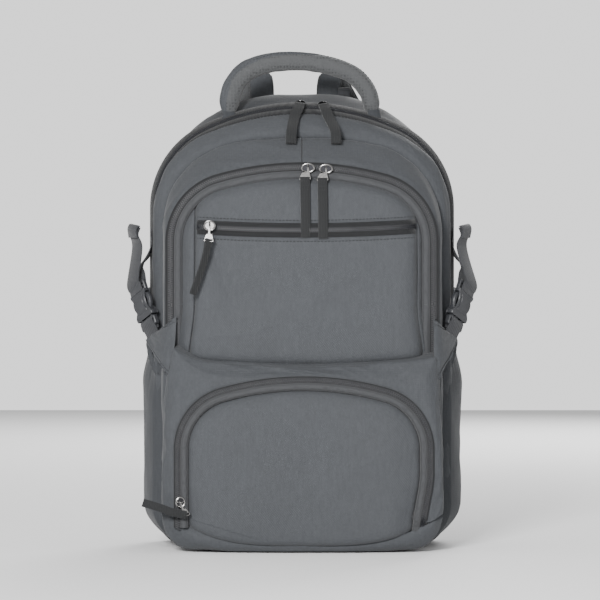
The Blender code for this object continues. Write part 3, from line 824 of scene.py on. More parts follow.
def flap_depth(x, z):
    """How far forward the front panel stands: domed at its edges, creased at its seams."""
    e = np.maximum(edge_distance(x, z, ZIP_2) - FLAP_INSET, 0)
    top = np.maximum(arch_top(x, ZIP_2, FLAP_INSET) - z, 0)
    rise = 0.0215 * (1 - np.exp(-np.maximum(e - 0.0008, 0) / 0.0095))
    slope = 0.0085 + 0.0145 * (1 - np.exp(-top / 0.042))
    belly = 0.0022 * np.exp(-((z - 0.25) / 0.06) ** 2) * np.exp(-(x / 0.09) ** 2)
    depth = 0.0665 + soft_min(rise, slope, 0.0022) + belly
    for seam in (SEAM_LEFT, SEAM_RIGHT):
        wobble = 0.0006 * noise(z / 0.03, z * 0 + seam * 50, 41, 2)
        gap = x - seam - wobble
        depth = depth - 0.0056 * np.exp(-np.abs(gap) / 0.0012) - 0.0014 * np.exp(-np.abs(gap) / 0.0045)
        depth = depth + 0.0007 * noise(z / 0.008, x * 0 + seam * 9, 43, 2) * np.exp(-np.abs(gap) / 0.007)
        depth = depth - 0.0020 * smooth(np.sign(seam) * gap, 0.0, 0.004)
    sag = pocket_sag(x)
    between = smooth(x, SEAM_LEFT, SEAM_LEFT + 0.003) * (1 - smooth(x, SEAM_RIGHT - 0.003, SEAM_RIGHT))
    for offset in (0.0077, -0.0092):
        depth = depth - between * 0.0011 * np.exp(-((z - sag - offset) / 0.0012) ** 2)
    low = z - lower_seam_z(x)
    depth = depth - 0.0062 * np.exp(-np.maximum(low - 0.001, 0) / 0.0040)
    cloth = 0.0015 * noise(x / 0.07 + 4, z / 0.07, 45, 3)
    cloth = cloth + 0.0015 * folds(x / 0.075 + z / 0.16, z / 0.055 - x / 0.15, 47)
    crease = (0.0028 * np.exp(-(((x + 0.088 + (0.30 - z) * -0.35) / 0.0075) ** 2)) * smooth(z, 0.235, 0.27)
              * (1 - smooth(z, 0.295, 0.31)))
    wrinkles = 0.0026 * (np.exp(-((z - 0.306 - (x - 0.12) * 0.5) / 0.0035) ** 2)
                         + np.exp(-((z - 0.247 + (x - 0.12) * 0.7) / 0.0035) ** 2)) * smooth(x, 0.117, 0.121)
    fade = smooth(e, 0.0, 0.006)
    return depth + fade * (cloth - crease - wrinkles)


def front_panel():
    """The front flap's panel above the fold, and its continuation down to the lower seam."""
    upper_rows, lower_rows = 130, 64
    half = ZIP_2[0] - FLAP_INSET
    x = np.concatenate([-half + (SEAM_LEFT + half) * eased(22)[:-1],
                        SEAM_LEFT + (SEAM_RIGHT - SEAM_LEFT) * (eased(190) * 0.35
                                                                + np.linspace(0, 1, 190) * 0.65),
                        SEAM_RIGHT + (half - SEAM_RIGHT) * eased(16)[1:]])
    top = arch_top(x, ZIP_2, FLAP_INSET)
    v = np.linspace(0, 1, upper_rows)
    v = v * 0.6 + 0.4 * np.sin(v * math.pi / 2)
    z = FLAP_Z + (top - FLAP_Z)[None] * v[:, None]
    xs = np.broadcast_to(x, z.shape)
    upper = np.stack([xs, -flap_depth(xs, z), z], -1)
    low = lower_seam_z(x)
    wide = 1 + 0.05 * (1 - smooth(np.linspace(0, 1, lower_rows), 0, 1))[:, None]
    z2 = low[None] + (FLAP_Z - low)[None] * np.linspace(0, 1, lower_rows)[:, None]
    xs2 = np.broadcast_to(x, z2.shape)
    lower = np.stack([xs2 * wide, -flap_depth(xs2, z2), z2], -1)
    one = panel("front_flap_panel", upper, None, "panel", replaces=("front_panel",))
    two = panel("front_lower_strip", lower, None, "panel")
    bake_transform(one)
    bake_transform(two)


def base_seam_z(x):
    """Height of the curved seam across the bottom of the lower pocket."""
    return 0.0072 + 0.034 * (np.abs(np.asarray(x) - 0.003) / 0.138) ** 3.4


LOWER_INSET = 0.0088
LOWER_SEAM_Y, LOWER_ZIP_Y = -0.0868, -0.1010


def lower_outline(foot, count, base=False):
    """Outline of the section behind the lower pocket: sides, corners and curved top seam."""
    right = V([(0.1392, foot), (0.1402, 0.060), (0.1396, 0.100), (0.1378, 0.145), (0.1364, 0.174)])
    left = V([(-0.1340, 0.180), (-0.1372, 0.145), (-0.1392, 0.100), (-0.1398, 0.060), (-0.1388, foot)])
    x = np.linspace(0.1345, -0.1285, 90)
    points = np.vstack([spline(right, 60), np.stack([x, lower_seam_z(x)], 1), spline(left, 60)])
    if base:
        radius, floor = 0.030, 0.0018
        one, _ = arc(right[0][0] - radius, floor + radius, radius, math.pi, math.pi / 2, 24)
        two, _ = arc(left[-1][0] + radius, floor + radius, radius, -math.pi / 2, -math.pi, 24)
        points = np.vstack([[[0, floor]], one, points[1:-1], two, [[0, floor]]])
    tangents = unit(np.gradient(points, axis=0))
    normals = np.stack([tangents[:, 1], -tangents[:, 0]], 1)
    points, normals = resample(points, normals, count)
    window = np.hanning(5)
    soft = [np.convolve(c, window / window.sum(), "same") for c in points.T]
    edge = len(window)
    points[edge:-edge] = np.stack(soft, 1)[edge:-edge]
    return points, normals


def lean_foot(points):
    """The pocket's right side leans in towards its foot."""
    x, z = points[..., 0], points[..., 2]
    weight = smooth(x, 0.085, 0.112) * (1 - smooth(x, 0.134, 0.1395)) * (1 - smooth(z, 0.022, 0.080))
    shift = 0.0080 * weight
    seam = base_seam_z(x)
    drop = (seam - base_seam_z(x - shift)) * np.exp(-np.abs(z - seam) / 0.02)
    return points - np.stack([shift, 0 * shift, drop], -1)


def lower_front():
    """The lower pocket: gusset round its zip, domed flap, and the band under the curved seam."""
    n = 420
    a, _ = lower_outline(0.0400, n)
    b, _ = arch(LOWER_ZIP, 0.0345, n, -0.0026, PANEL_X)
    z = a[:, 1]
    bulge = 0.0034 - 0.0018 * smooth(z, 0.12, 0.185)
    gusset = lofted(to_3d(a, LOWER_SEAM_Y), to_3d(b, LOWER_ZIP_Y), 30, bulge_at=bulge, seed=13, wave=0.0020,
                    puckers=0.0007, creases=0.0018, edge=0.0014)
    panel("lower_pocket_gusset", lean_foot(gusset), "pack", "body",
          replaces=("lower_pocket_body",))

    columns, rows = 240, 130
    half = LOWER_ZIP[0] - LOWER_INSET
    x = half * (np.sin(np.linspace(-math.pi / 2, math.pi / 2, columns)) * 0.6
                + np.linspace(-1, 1, columns) * 0.4)
    x[0], x[-1] = -half, half
    top = arch_top(x, LOWER_ZIP, LOWER_INSET)
    low = base_seam_z(x + PANEL_X)
    v = np.linspace(0, 1, rows) * 0.5 + eased(rows) * 0.5
    z = low[None] + (top - low)[None] * v[:, None]
    xs = np.broadcast_to(x, z.shape)
    e = np.maximum(edge_distance(xs, z, LOWER_ZIP) - LOWER_INSET, 0)
    foot = np.maximum(z - base_seam_z(xs + PANEL_X), 0)
    inside = np.maximum(e - 0.0016, 0)
    rise = 0.0112 * (1 - np.exp(-inside / 0.016)) + 0.0040 * (1 - np.exp(-inside / 0.0018))
    depth = 0.0980 + rise - 0.0040 * np.exp(-foot / 0.016) - 0.0040 * np.exp(-foot / 0.0018)
    depth += 0.0015 * noise(xs / 0.06 + 9, z / 0.05, 61, 3) * smooth(e, 0, 0.01)
    depth += 0.0014 * folds(xs / 0.070 - z / 0.14, z / 0.060 + xs / 0.2, 67) * smooth(e, 0.002, 0.014)
    depth += 0.0008 * noise(xs / 0.010, z / 0.010, 63, 2) * np.exp(-e / 0.006)
    points = np.stack([xs + PANEL_X, -depth, z], -1)
    obj = panel("lower_flap_panel", lean_foot(points), None, "panel", replaces=("lower_panel",))
    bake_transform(obj)

    # wall behind the lower pocket, all the way round
    ring, _ = lower_outline(0.0318, 520, base=True)
    lift = smooth(ring[:, 1], 0.172, 0.186)
    deep = ring * V([0.972, 1.0])
    deep[:, 1] = deep[:, 1] + 0.005 * lift
    wall = lofted(to_3d(deep, -0.0640), to_3d(ring, LOWER_SEAM_Y + 0.0004), 18, seed=17, wave=0.0012,
                  bulge_at=0.0022 * smooth(ring[:, 1], 0.004, 0.04) * (1 - lift), edge=0.0022,
                  creases=0.0006)
    wall[..., 2] = np.maximum(wall[..., 2], 0.0014)
    wall[:, -1] = wall[:, 0]
    panel("lower_wall", wall, "pack", "body")

    # band under the curved seam, rolling under to the base
    x = 0.1396 * (np.linspace(-1, 1, 260) * 0.6 + 0.4 * np.sin(np.linspace(-1, 1, 260) * math.pi / 2))
    out = np.abs(x)
    seam_y = -np.interp(out, [0, 0.09, 0.113, 0.131, 0.1396], [0.1040, 0.1020, 0.0980, 0.0975, 0.0872])
    seam = np.stack([x + 0.0006, seam_y, base_seam_z(x) - 0.0003], 1)
    radius = 0.030
    drop = np.maximum(out - 0.1092, 0)
    under_z = 0.0018 + radius - np.sqrt(np.maximum(radius ** 2 - drop ** 2, 0))
    under = np.stack([x * 0.996 + 0.0004, np.full(len(x), -0.0866), under_z], 1)
    band = lofted(under, seam, 24, seed=71, bulge_at=0.0040 * (1 - smooth(out, 0.10, 0.14)) + 0.0016,
                  wave=0.0010, edge=0.0020, creases=0.0008)
    band[..., 2] = np.maximum(band[..., 2], 0.0012)
    panel("base_band", band, "pack", "body")


rear_gusset()
closing_strip()
front_half()
front_panel()
lower_front()


# ---------------------------------------------------------------- zips
def along(path, *fields, pitch):
    """The path and its vector fields resampled at an even pitch."""
    length = np.sum(step_lengths(path))
    count = max(int(round(length / pitch)) + 1, 2)
    out = [resample(path, field, count)[1] for field in fields]
    return (resample(path, fields[0], count)[0], *out)


TOOTH_FROM, TOOTH_TO = -0.0006, 0.0020      # a tooth's reach across the zip, from its centre line
TOOTH_WIDE, TOOTH_HIGH, TOOTH_LIFT = 0.00096, 0.0013, 0.0003


def teeth(shape, path, side, out, pitch=0.0022, phase=0.0):
    """One row of moulded teeth: a rounded block at every pitch, reaching over the centre line."""
    points, side, out = along(path, side, out, pitch=pitch)
    step = unit(np.gradient(points, axis=0))
    points = points + step * pitch * phase
    middle, half = (TOOTH_FROM + TOOTH_TO) / 2, (TOOTH_TO - TOOTH_FROM) / 2
    rings = []
    for o, shrink in ((-0.1, 1.0), (0.55, 1.0), (1.0, 0.62)):
        for a, s in ((-1, -1), (1, -1), (1, 1), (-1, 1)):
            across = middle + half * s * (0.5 + 0.5 * shrink)
            rings.append(points + step * a * TOOTH_WIDE / 2 * shrink + side * across
                         + out * (TOOTH_LIFT + TOOTH_HIGH * o))
    faces = [(3, 2, 1, 0), (8, 9, 10, 11)] + grid_faces(3, 4, closed=True)
    if np.sum(np.cross(step, side) * out, 1).mean() <= 0:
        faces = [f[::-1] for f in faces]
    for corners in np.stack(rings, 1):
        shape.add(corners, faces, 1)


TEETH_CLEAR = 0.0012                        # from the centre line to the edge of the tape
TAPE_CLOTH = 0.0009
CORD_AT, CORD_LIFT, CORD_WIDE, CORD_THICK = 0.0017, 0.0003, 0.0026, 0.0007


def zip_half(name, path, side, out, tape, body, phase=0.0, replaces=(), blend=None):
    """One side of a zip: its tape from the teeth outwards, a cord under the teeth and the teeth."""
    shape = Shape()
    shape.add(*ribbon(path + side * (TEETH_CLEAR + tape) / 2, side, tape - TEETH_CLEAR, TAPE_CLOTH), 0)
    shape.add(*ribbon(path + side * CORD_AT + out * CORD_LIFT, side, CORD_WIDE, CORD_THICK), 2)
    teeth(shape, path, side, out, phase=phase)
    obj = shape.build(name, [M["zip_tape"], M["coil"], M["cord"]], None if blend else body, 40,
                      replaces)
    if blend:
        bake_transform(obj)


def cut(points, *fields, keep):
    """Rows of a path where keep is true, with the fields alongside."""
    return [p[keep] for p in (points, *fields)]


def main_zip():
    points, normals = arch(ZIP_1, MAIN_ZIP_FOOT, 520, -0.0003)
    n3 = to_3d(normals, 0.0)
    side = unit(-n3 * 0.0065 + V([0, -0.0100, 0]))
    out = unit(n3 * 0.0100 + V([0, -0.0065, 0]))
    path = to_3d(points, 0.0044) + out * 0.0006
    zip_half("main_zip_back_half", path, -side, out, 0.0112, "pack", replaces=("main_zip_rear",))
    zip_half("main_zip_front_half", path, side, out, 0.0112, None, phase=0.5,
             replaces=("main_zip_front",), blend=("pack", "main_flap", 0.215, 0.285))


FRONT_ZIP_FOOT, LOWER_ZIP_FOOT = 0.188, 0.0250
BINDING_IN, BINDING_OUT = 0.0044, 0.0116
BINDING_THICK, BINDING_TUCK = 0.0012, 0.0010


def binding(path, inward, out, near, far, height=0.0015, puckers=0.0005, seed=5, tuck=0.0):
    """A folded tape laid beside a zip, domed across its width, its far edge turned down by tuck."""
    v = np.linspace(0, 1, 9)
    steps = travel(path)
    dome = height * np.sin(np.pi * v) ** 0.6
    ripple = puckers * noise(steps[:, None] / 0.006, v[None] * 2 + 0 * steps[:, None], seed, 2)
    offset = dome[None] + ripple * np.sin(np.pi * v)[None] - tuck * smooth(v, 0.72, 1.0)[None]
    across = near + (far - near) * v
    points = path[:, None] + inward[:, None] * across[None, :, None] + out[:, None] * offset[..., None]
    return points.transpose(1, 0, 2)[::-1]


def painted_seam_shade(path, inward, out, across, depth):
    """A dark tube laid along the crease where a binding meets its panel: painted shade for that crease."""
    return tube(path[::2] + inward[::2] * across - out[::2] * depth, 0.0007, 6)


def front_zip():
    n = 520
    points, normals = arch(ZIP_2, FRONT_ZIP_FOOT, n, 0.0020)
    path = to_3d(points, -0.0668)
    inward = -to_3d(normals, 0.0)
    out = np.broadcast_to(V([0, -1.0, 0]), path.shape)
    upper = points[:, 1] >= FLAP_Z
    args = cut(path, inward, out, keep=upper)
    flap_blend = ("main_flap", "front_flap", FLAP_Z, FLAP_Z + 0.03)
    zip_half("front_zip_outer_half", args[0], -args[1], args[2], 0.0052, "main_flap",
             replaces=("front_zip_outer",))
    zip_half("front_zip_inner_half", args[0], args[1], args[2], 0.0052, None, phase=0.5,
             replaces=("front_zip_inner",), blend=flap_blend)
    shape = Shape()
    skin(shape, binding(*args, BINDING_IN, BINDING_OUT, tuck=BINDING_TUCK), BINDING_THICK, inner=0)
    # dark tube along the binding's seam: painted shade
    shape.add(*painted_seam_shade(*args, BINDING_OUT + 0.0002, -0.0006), 1)
    obj = shape.build("front_zip_binding", [M["binding"], M["cord"]], None, 50)
    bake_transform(obj)
    middle = n // 2
    for tag, half in (("right", slice(0, middle)), ("left", slice(middle, n))):
        keep = np.zeros(n, bool)
        keep[half] = True
        keep &= points[:, 1] <= FLAP_Z + 0.0012
        low = cut(path, inward, out, keep=keep)
        shape = Shape()
        for sign, phase in ((1, 0.0), (-1, 0.5)):
            shape.add(*ribbon(low[0] + low[1] * sign * 0.0032, low[1], 0.0040, TAPE_CLOTH), 0)
            shape.add(*ribbon(low[0] + low[1] * sign * CORD_AT + low[2] * CORD_LIFT, low[1], CORD_WIDE,
                              CORD_THICK), 3)
            teeth(shape, low[0], low[1] * sign, low[2], phase=phase)
        skin(shape, binding(*low, BINDING_IN, BINDING_OUT, tuck=BINDING_TUCK), BINDING_THICK, 2, 2)
        # dark tube along the binding's seam: painted shade
        shape.add(*painted_seam_shade(*low, BINDING_OUT + 0.0002, -0.0006), 3)
        foot = shape.build("front_zip_foot_" + tag, [M["zip_tape"], M["coil"], M["binding"], M["cord"]],
                           None, 40)
        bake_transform(foot)


def lower_zip():
    n = 420
    points, normals = arch(LOWER_ZIP, LOWER_ZIP_FOOT, n, 0.0008, PANEL_X)
    path = lean_foot(to_3d(points, -0.1018))
    # its right foot is tucked back under the pocket's corner
    path[:, 1] += 0.0060 * (1 - smooth(path[:, 2], LOWER_ZIP_FOOT, 0.0340)) * (path[:, 0] > PANEL_X)
    inward = -to_3d(normals, 0.0)
    out = np.broadcast_to(V([0, -1.0, 0]), path.shape)
    zip_half("lower_zip_outer_half", path, -inward, out, 0.0042, "pack", replaces=("lower_zip_outer",))
    fold = ("pack", "lower_flap", LOWER_FOLD_Z, LOWER_FOLD_Z + 0.035)
    zip_half("lower_zip_inner_half", path, inward, out, 0.0042, None, phase=0.5,
             replaces=("lower_zip_inner",), blend=fold)
    shape = Shape()
    skin(shape, binding(path, inward, out, 0.0034, 0.0097, 0.0017, 0.0008, 9, 0.0036), BINDING_THICK, inner=0)
    # dark tube along the binding's seam: painted shade
    shape.add(*painted_seam_shade(path, inward, out, 0.0100, 0.0014), 1)
    obj = shape.build("lower_zip_binding", [M["binding"], M["cord"]], None, 50)
    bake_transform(obj)


def upper_pocket():
    """Straight zip across the flap, on a sunk tape, with a stitched line above and below."""
    x = np.linspace(SEAM_LEFT + 0.002, SEAM_RIGHT - 0.002, 160)
    z = pocket_sag(x)
    path = np.stack([x, -flap_depth(x, z) - 0.0006, z], 1)
    side = np.broadcast_to(V([0, 0, 1.0]), path.shape)
    out = np.broadcast_to(V([0, -1.0, 0]), path.shape)
    shape = Shape()
    for sign, phase in ((1, 0.0), (-1, 0.5)):
        rows = []
        for v in np.linspace(0, 1, 6):
            zz = z + sign * (0.0012 + 0.0060 * v)
            y = -flap_depth(x, zz) - 0.0006 - 0.0006 * math.sin(math.pi * v) ** 0.5
            rows.append(np.stack([x, y, zz], 1))
        rows = np.stack(rows if sign > 0 else rows[::-1])
        skin(shape, rows, 0.0008, inner=0)
        shape.add(*ribbon(path + side * sign * 0.0016 + out * 0.0002, side, 0.0024, CORD_THICK), 3)
        teeth(shape, path, side * sign, out, 0.0020, phase)
    for offset in (0.0100, -0.0112):
        zz = z + offset
        seam = np.stack([x, -flap_depth(x, zz), zz], 1)
        stitches(shape, seam, V([0, -1.0, 0]), mat=2)
    shape.build("upper_pocket_zip_line", [M["zip_tape"], M["coil"], M["thread"], M["cord"]], "front_flap", 40,
                ("upper_pocket_zip",))


main_zip()
front_zip()
lower_zip()
upper_pocket()


# ---------------------------------------------------------------- more curves and solids
def centre_of(node):
    """Middle of a node's box."""
    low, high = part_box(node)
    return (V(low) + V(high)) / 2


def rounded_section(half_w, half_t, power, count):
    """A closed section like a soft pad: flat faces, round edges."""
    t = np.linspace(0, 2 * math.pi, count, endpoint=False)
    c, n = np.cos(t), np.sin(t)
    return np.stack([half_w * np.sign(c) * np.abs(c) ** power, half_t * np.sign(n) * np.abs(n) ** power], 1)


def sweep(shape, path, across, section_at, mats):
    """Sections swept along a path, given back as a grid of points.

    section_at(i) gives the points as (across, normal), and mats one material number for each side.
    """
    _, across, normals = strap_frame(path, across)
    rings = []
    for i, centre in enumerate(path):
        section = section_at(i)
        rings.append(centre + np.outer(section[:, 0], across[i]) + np.outer(section[:, 1], normals[i]))
    shape.add(np.vstack(rings), ring_faces(len(path), len(mats)), mats * (len(path) - 1) + [0, 0])
    return np.stack(rings)


# ---------------------------------------------------------------- sliders, tabs and pull tapes
def slider(name, centre, ahead, out, node, body, long=0.0100, wide=0.0086, mats=("dark_metal", "metal")):
    """Cast slider: two plates, the wedge between them, and a round crown for the tab."""
    ahead, out = unit(ahead), unit(out)
    side = np.cross(out, ahead)
    t = np.linspace(0, 2 * math.pi, 28, endpoint=False)
    shield = np.stack([np.cos(t) * long / 2, np.sin(t) * wide / 2 * (1 - 0.16 * np.cos(t))], 1)
    shape = Shape()
    shape.add(*plate(shield, 0.0011, (ahead, side, out), centre + out * 0.0012, 0.0004))
    shape.add(*plate(shield * 0.96, 0.0009, (ahead, side, out), centre - out * 0.0022, 0.0003))
    shape.add(*plate(rounded_rect(long * 0.42, 0.0016, 0.0006), 0.0034, (ahead, side, out),
                     centre - out * 0.0005, 0.0002))
    crown = [centre + out * (0.0020 + 0.0007 * math.sin(a)) + ahead * math.cos(a) * long * 0.47
             + side * math.sin(a) * wide * 0.44 for a in t]
    shape.add(*tube(crown, 0.0009, 8, closed=True), 1)
    bridge = spline([centre + out * 0.0018 - side * wide * 0.36, centre + out * 0.0036 - side * wide * 0.24,
                     centre + out * 0.0042, centre + out * 0.0036 + side * wide * 0.24,
                     centre + out * 0.0018 + side * wide * 0.36], 18)
    shape.add(*tube(bridge, 0.00075, 8), 1)
    return shape.build(name, [M[m] for m in mats], body, 40, (node,))


TAB_FOOT = 0.0080           # length of the wide part of a tab
SLOT_DOWN = 0.0022          # from its middle to its slot
TAPE_GAP, TAPE_THICK = 0.0010, 0.0009


def tab(name, hook, down, out, long, wide, node, body, aside=0.0):
    """Tab with a slim link that hooks the crown and a flared foot with a slot for the tape."""
    down, out = unit(down), unit(out)
    out = unit(out - down * down.dot(out))
    side = np.cross(down, out)
    shape = Shape()
    neck = long - TAB_FOOT
    shape.add(*plate(rounded_rect(0.0019, neck + 0.0026, 0.0007), 0.0012, (side, down, out),
                     hook + down * (neck + 0.0016) / 2, 0.0003))
    outer = V(rounded_rect(wide, TAB_FOOT, 0.0012))
    outer[:, 0] *= np.interp(outer[:, 1], [-TAB_FOOT / 2, 0, TAB_FOOT / 2], [0.60, 0.92, 1.0])
    inner = V(rounded_rect(wide - 0.0026, 0.0022, 0.0008)) + [0, SLOT_DOWN]
    outer[:, 0] += aside * np.interp(outer[:, 1], [-TAB_FOOT / 2, 0], [0.7, 1.0])
    inner[:, 0] += aside
    shape.add(*frame_plate(outer, inner, 0.0014, (side, down, out), hook + down * (long - TAB_FOOT / 2),
                           0.0003))
    ring = [hook + (down * math.cos(a) + out * math.sin(a)) * 0.0013 - down * 0.0002
            for a in np.linspace(0, 2 * math.pi, 18, endpoint=False)]
    shape.add(*tube(ring, 0.00055, 8, closed=True))
    return shape.build(name, [M["metal"]], body, 40, (node,))


def pull_tape(name, points, across, out, width, node, body, spread=1.0):
    """Tape folded through the slot: a front and a back layer, stitched together near the top."""
    middle = spline(points, 30)
    tangents, across, normals = strap_frame(middle, across)
    normals = normals * np.sign(np.sum(normals * out, 1, keepdims=True))
    v = np.linspace(0, 1, 30)[:, None]
    open_ends = (1 + spread * 1.2 * smooth(v, 0.72, 1.0) + 0.15 * np.sin(v * 9)
                 + 1.1 * (1 - smooth(v, 0, 0.12)))
    front = middle + normals * TAPE_GAP * 0.55 * open_ends
    back = middle - normals * TAPE_GAP * 0.55 * open_ends
    turn = [middle[0] - tangents[0] * TAPE_GAP * 0.9 * math.sin(a) + normals[0] * TAPE_GAP * 1.15 * math.cos(a)
            for a in np.linspace(0, math.pi, 8)[1:-1]]
    path = np.vstack([front[::-1], turn, back])
    sides = np.vstack([across[::-1], np.repeat(across[:1], len(turn), 0), across])
    shape = Shape()
    shape.add(*ribbon(path, sides, width, TAPE_THICK))
    for at in (4, 6):
        line = [front[at] + across[at] * u * width * 0.42 for u in np.linspace(-1, 1, 12)]
        stitches(shape, line, normals[at], 0.0013, 0.0010, 0.0002, 1, TAPE_THICK / 2 + 0.0001)
    return shape.build(name, [M["pull"], M["thread"]], body, 50, (node,))


def pulls():
    """The six sliders with their tabs and tapes."""
    front = V([0, -1.0, 0])
    crest = unit(V([0, -0.545, 0.838]))
    for tag, lean, end_x in (("left", -1, -0.0112), ("right", 1, 0.0345)):
        body = "main_" + tag
        centre = centre_of(body + "_slider")
        pivot = V(JOINTS[body + "_pull_lift"]["pos_m"])
        slider(body + "_slider_metal", centre - crest * 0.0034, V([1.0, 0, 0]), crest, body + "_slider",
               body + "_slide", mats=("dark_metal", "dark_metal"))
        start = pivot + V([0, -0.0046, -0.0070]) + crest * 0.0012
        run = [start, start + V([lean * 0.0024, -0.0100, -0.0060]),
               start + V([lean * 0.0058, -0.0190, -0.0150]),
               V([end_x - lean * 0.0006, -0.0400, 0.4215]), V([end_x, -0.0462, 0.4090])]
        pull_tape(body + "_pull_strap", run, V([1.0, -0.10 * lean, 0.06 * lean]), crest, 0.0104,
                  body + "_tape", body + "_pull")

    def tabbed(body, down, tab_long, tab_wide, facing, run, across, width, spread, aside=0.0, **shape):
        """A slider, its tab, and a tape whose run is given from the slot."""
        pivot = V(JOINTS[body + "_pull_lift"]["pos_m"])
        slider(body + "_slider_metal", centre_of(body + "_slider"), shape.pop("ahead", V([1.0, 0, 0])), front,
               body + "_slider", body + "_slide", **shape)
        hook = pivot + V([0, 0.0002, -0.0006])
        down = unit(V(down))
        tab(body + "_tab_metal", hook, down, facing, tab_long, tab_wide, body + "_tab", body + "_pull", aside)
        slot = hook + down * (tab_long - TAB_FOOT / 2 + SLOT_DOWN) + unit(np.cross(down, facing)) * aside
        pull_tape(body + "_pull_strap", [slot + V(step) for step in run], across, front, width, body + "_tape",
                  body + "_pull", spread=spread)

    for tag, aside in (("left", 0.0034), ("right", 0.0040)):
        tabbed("front_" + tag, (0.0004, -0.0036, -0.0124), 0.0136, 0.0122, front,
               [(0, 0, 0), (0.0002, -0.0062, -0.0160), (0.0006, -0.0088, -0.0340), (0.0008, -0.0096, -0.0595)],
               V([1.0, 0.10, 0]), 0.0096, 0.3, aside, long=0.0132, wide=0.0092)
    tabbed("upper_pocket", (-0.0008, -0.0030, -0.0142), 0.0160, 0.0100, front,
           [(0, 0, 0), (-0.0030, -0.0014, -0.0150), (-0.0085, -0.0012, -0.0330), (-0.0160, 0.0004, -0.0540)],
           V([1.0, 0.7, -0.1]), 0.0072, 0.2, long=0.0112, wide=0.0104, mats=("metal", "metal"))
    tabbed("lower_pocket", (0.0052, -0.0014, -0.0124), 0.0146, 0.0100, V([0.25, -1.0, 0]),
           [(0, 0, 0), (-0.0125, -0.0018, 0.0028), (-0.0270, -0.0012, 0.0078), (-0.0420, 0.0020, 0.0120)],
           V([0.28, 0.10, 1.0]), 0.0080, 0.5, ahead=V([0, 0, 1.0]), long=0.0104, wide=0.0092)


def divider(name, node, seed):
    """A padded partition inside, following the outline of the compartment around it."""
    low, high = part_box(node)
    outline, _ = arch((high[0], *REAR[1:]), 0.0, 600)
    side = outline[:300]
    rows, columns = 40, 70
    z = np.linspace(low[2], high[2], rows)
    half = np.interp(z, side[:, 1], side[:, 0]) - (high[0] - base_profile(z, high[0]))
    x = np.linspace(-1, 1, columns)[None] * half[:, None]
    zz = np.broadcast_to(z[:, None], x.shape)
    pad = 0.0010 * noise(x / 0.05, zz / 0.06, seed, 2) + 0.0012 * np.cos(np.pi * x / 2 / half[:, None])
    points = np.stack([x, (low[1] + high[1]) / 2 - pad, zz], -1)
    panel(name, points, "pack", "lining", high[1] - low[1], replaces=(node,))


# ---------------------------------------------------------------- wings, buckles and their webbing
STRAP_WIDE = 0.0250


def strap_axes(tag):
    """Along the compression strap, across its width and out of its face."""
    sign = SIGN[tag]
    ahead = unit(V(JOINTS[f"buckle_{tag}_release"]["axis"], dtype=float))
    ahead = ahead * np.sign(ahead[2])
    across = V([sign * 0.60, 0.75, -0.25])
    across = unit(across - ahead * ahead.dot(across))
    out = np.cross(ahead, across)
    out = out * np.sign(out.dot(V([sign, -1.0, 0])))
    return sign, ahead, across, out


WING_SEAMS = {  # where each wing is sewn in, from its low corner to its top corner
    "left": [(0.1330, -0.0840, 0.1735), (0.1318, -0.0845, 0.1860), (0.1276, -0.0820, 0.2010),
             (0.1262, -0.0770, 0.2180), (0.1258, -0.0738, 0.2350)],
    "right": [(0.1350, -0.0840, 0.1690), (0.1340, -0.0845, 0.1820), (0.1316, -0.0820, 0.1965),
              (0.1318, -0.0775, 0.2150), (0.1322, -0.0742, 0.2325)]}


def wing(tag):
    """Quilted triangle from the front seam back to the strap, with turned and stitched edges."""
    sign, ahead, across, out = strap_axes(tag)
    root = centre_of("plug_webbing_" + tag) - ahead * 0.0035
    tip_front = root - across * STRAP_WIDE * 0.5 + out * 0.0012
    tip_back = root + across * STRAP_WIDE * 0.5 + out * 0.0012
    rows, columns = 60, 60
    v, u = eased(rows)[:, None, None], np.linspace(0, 1, columns)[None, :, None]
    inner = spline(WING_SEAMS[tag], 200)
    inner = inner[np.round(eased(rows) * 199).astype(int)][:, None] * V([sign, 1, 1])
    outer = tip_back + (tip_front - tip_back) * v
    low, high = inner[0, 0], inner[-1, 0]
    low_knee = low + (tip_back - low) * 0.42
    high_knee = high + (tip_front - high) * 0.72
    low_knee[1], high_knee[1] = -0.0815, -0.0730
    knee = low_knee * (1 - v) + high_knee * v
    grid = (1 - u) ** 2 * inner + 2 * u * (1 - u) * knee + u ** 2 * outer
    along_u, along_v = np.meshgrid(np.linspace(0, 1, columns), eased(rows))
    if sign < 0:
        grid, along_u = grid[:, ::-1], along_u[:, ::-1]
    normal = grid_normals(grid)
    near = np.minimum(along_v, 1 - along_v) * 0.055
    puff = 0.0012 * (1 - np.exp(-near / 0.004)) - 0.0010 * np.exp(-((near - 0.0042) / 0.0010) ** 2)
    puff += 0.0009 * noise(along_u * 3.2, along_v * 4.1, 81 if sign < 0 else 84, 3)
    puff += 0.0009 * folds(along_u * 2.2 + along_v, along_v * 2.6, 86)
    grid = grid + normal * puff[..., None]
    shape = Shape()
    skin(shape, grid, 0.0022, inner=0)
    for height in (0.070, 0.930):
        row = int(np.argmin(np.abs(eased(rows) - height)))
        stitches(shape, grid[row][2:-2], normal[row][2:-2], mat=1, radius=0.00022)
    shape.build("wing_quilt_" + tag, [M["body"], M["thread"]], "pack", 50, ("wing_" + tag,))


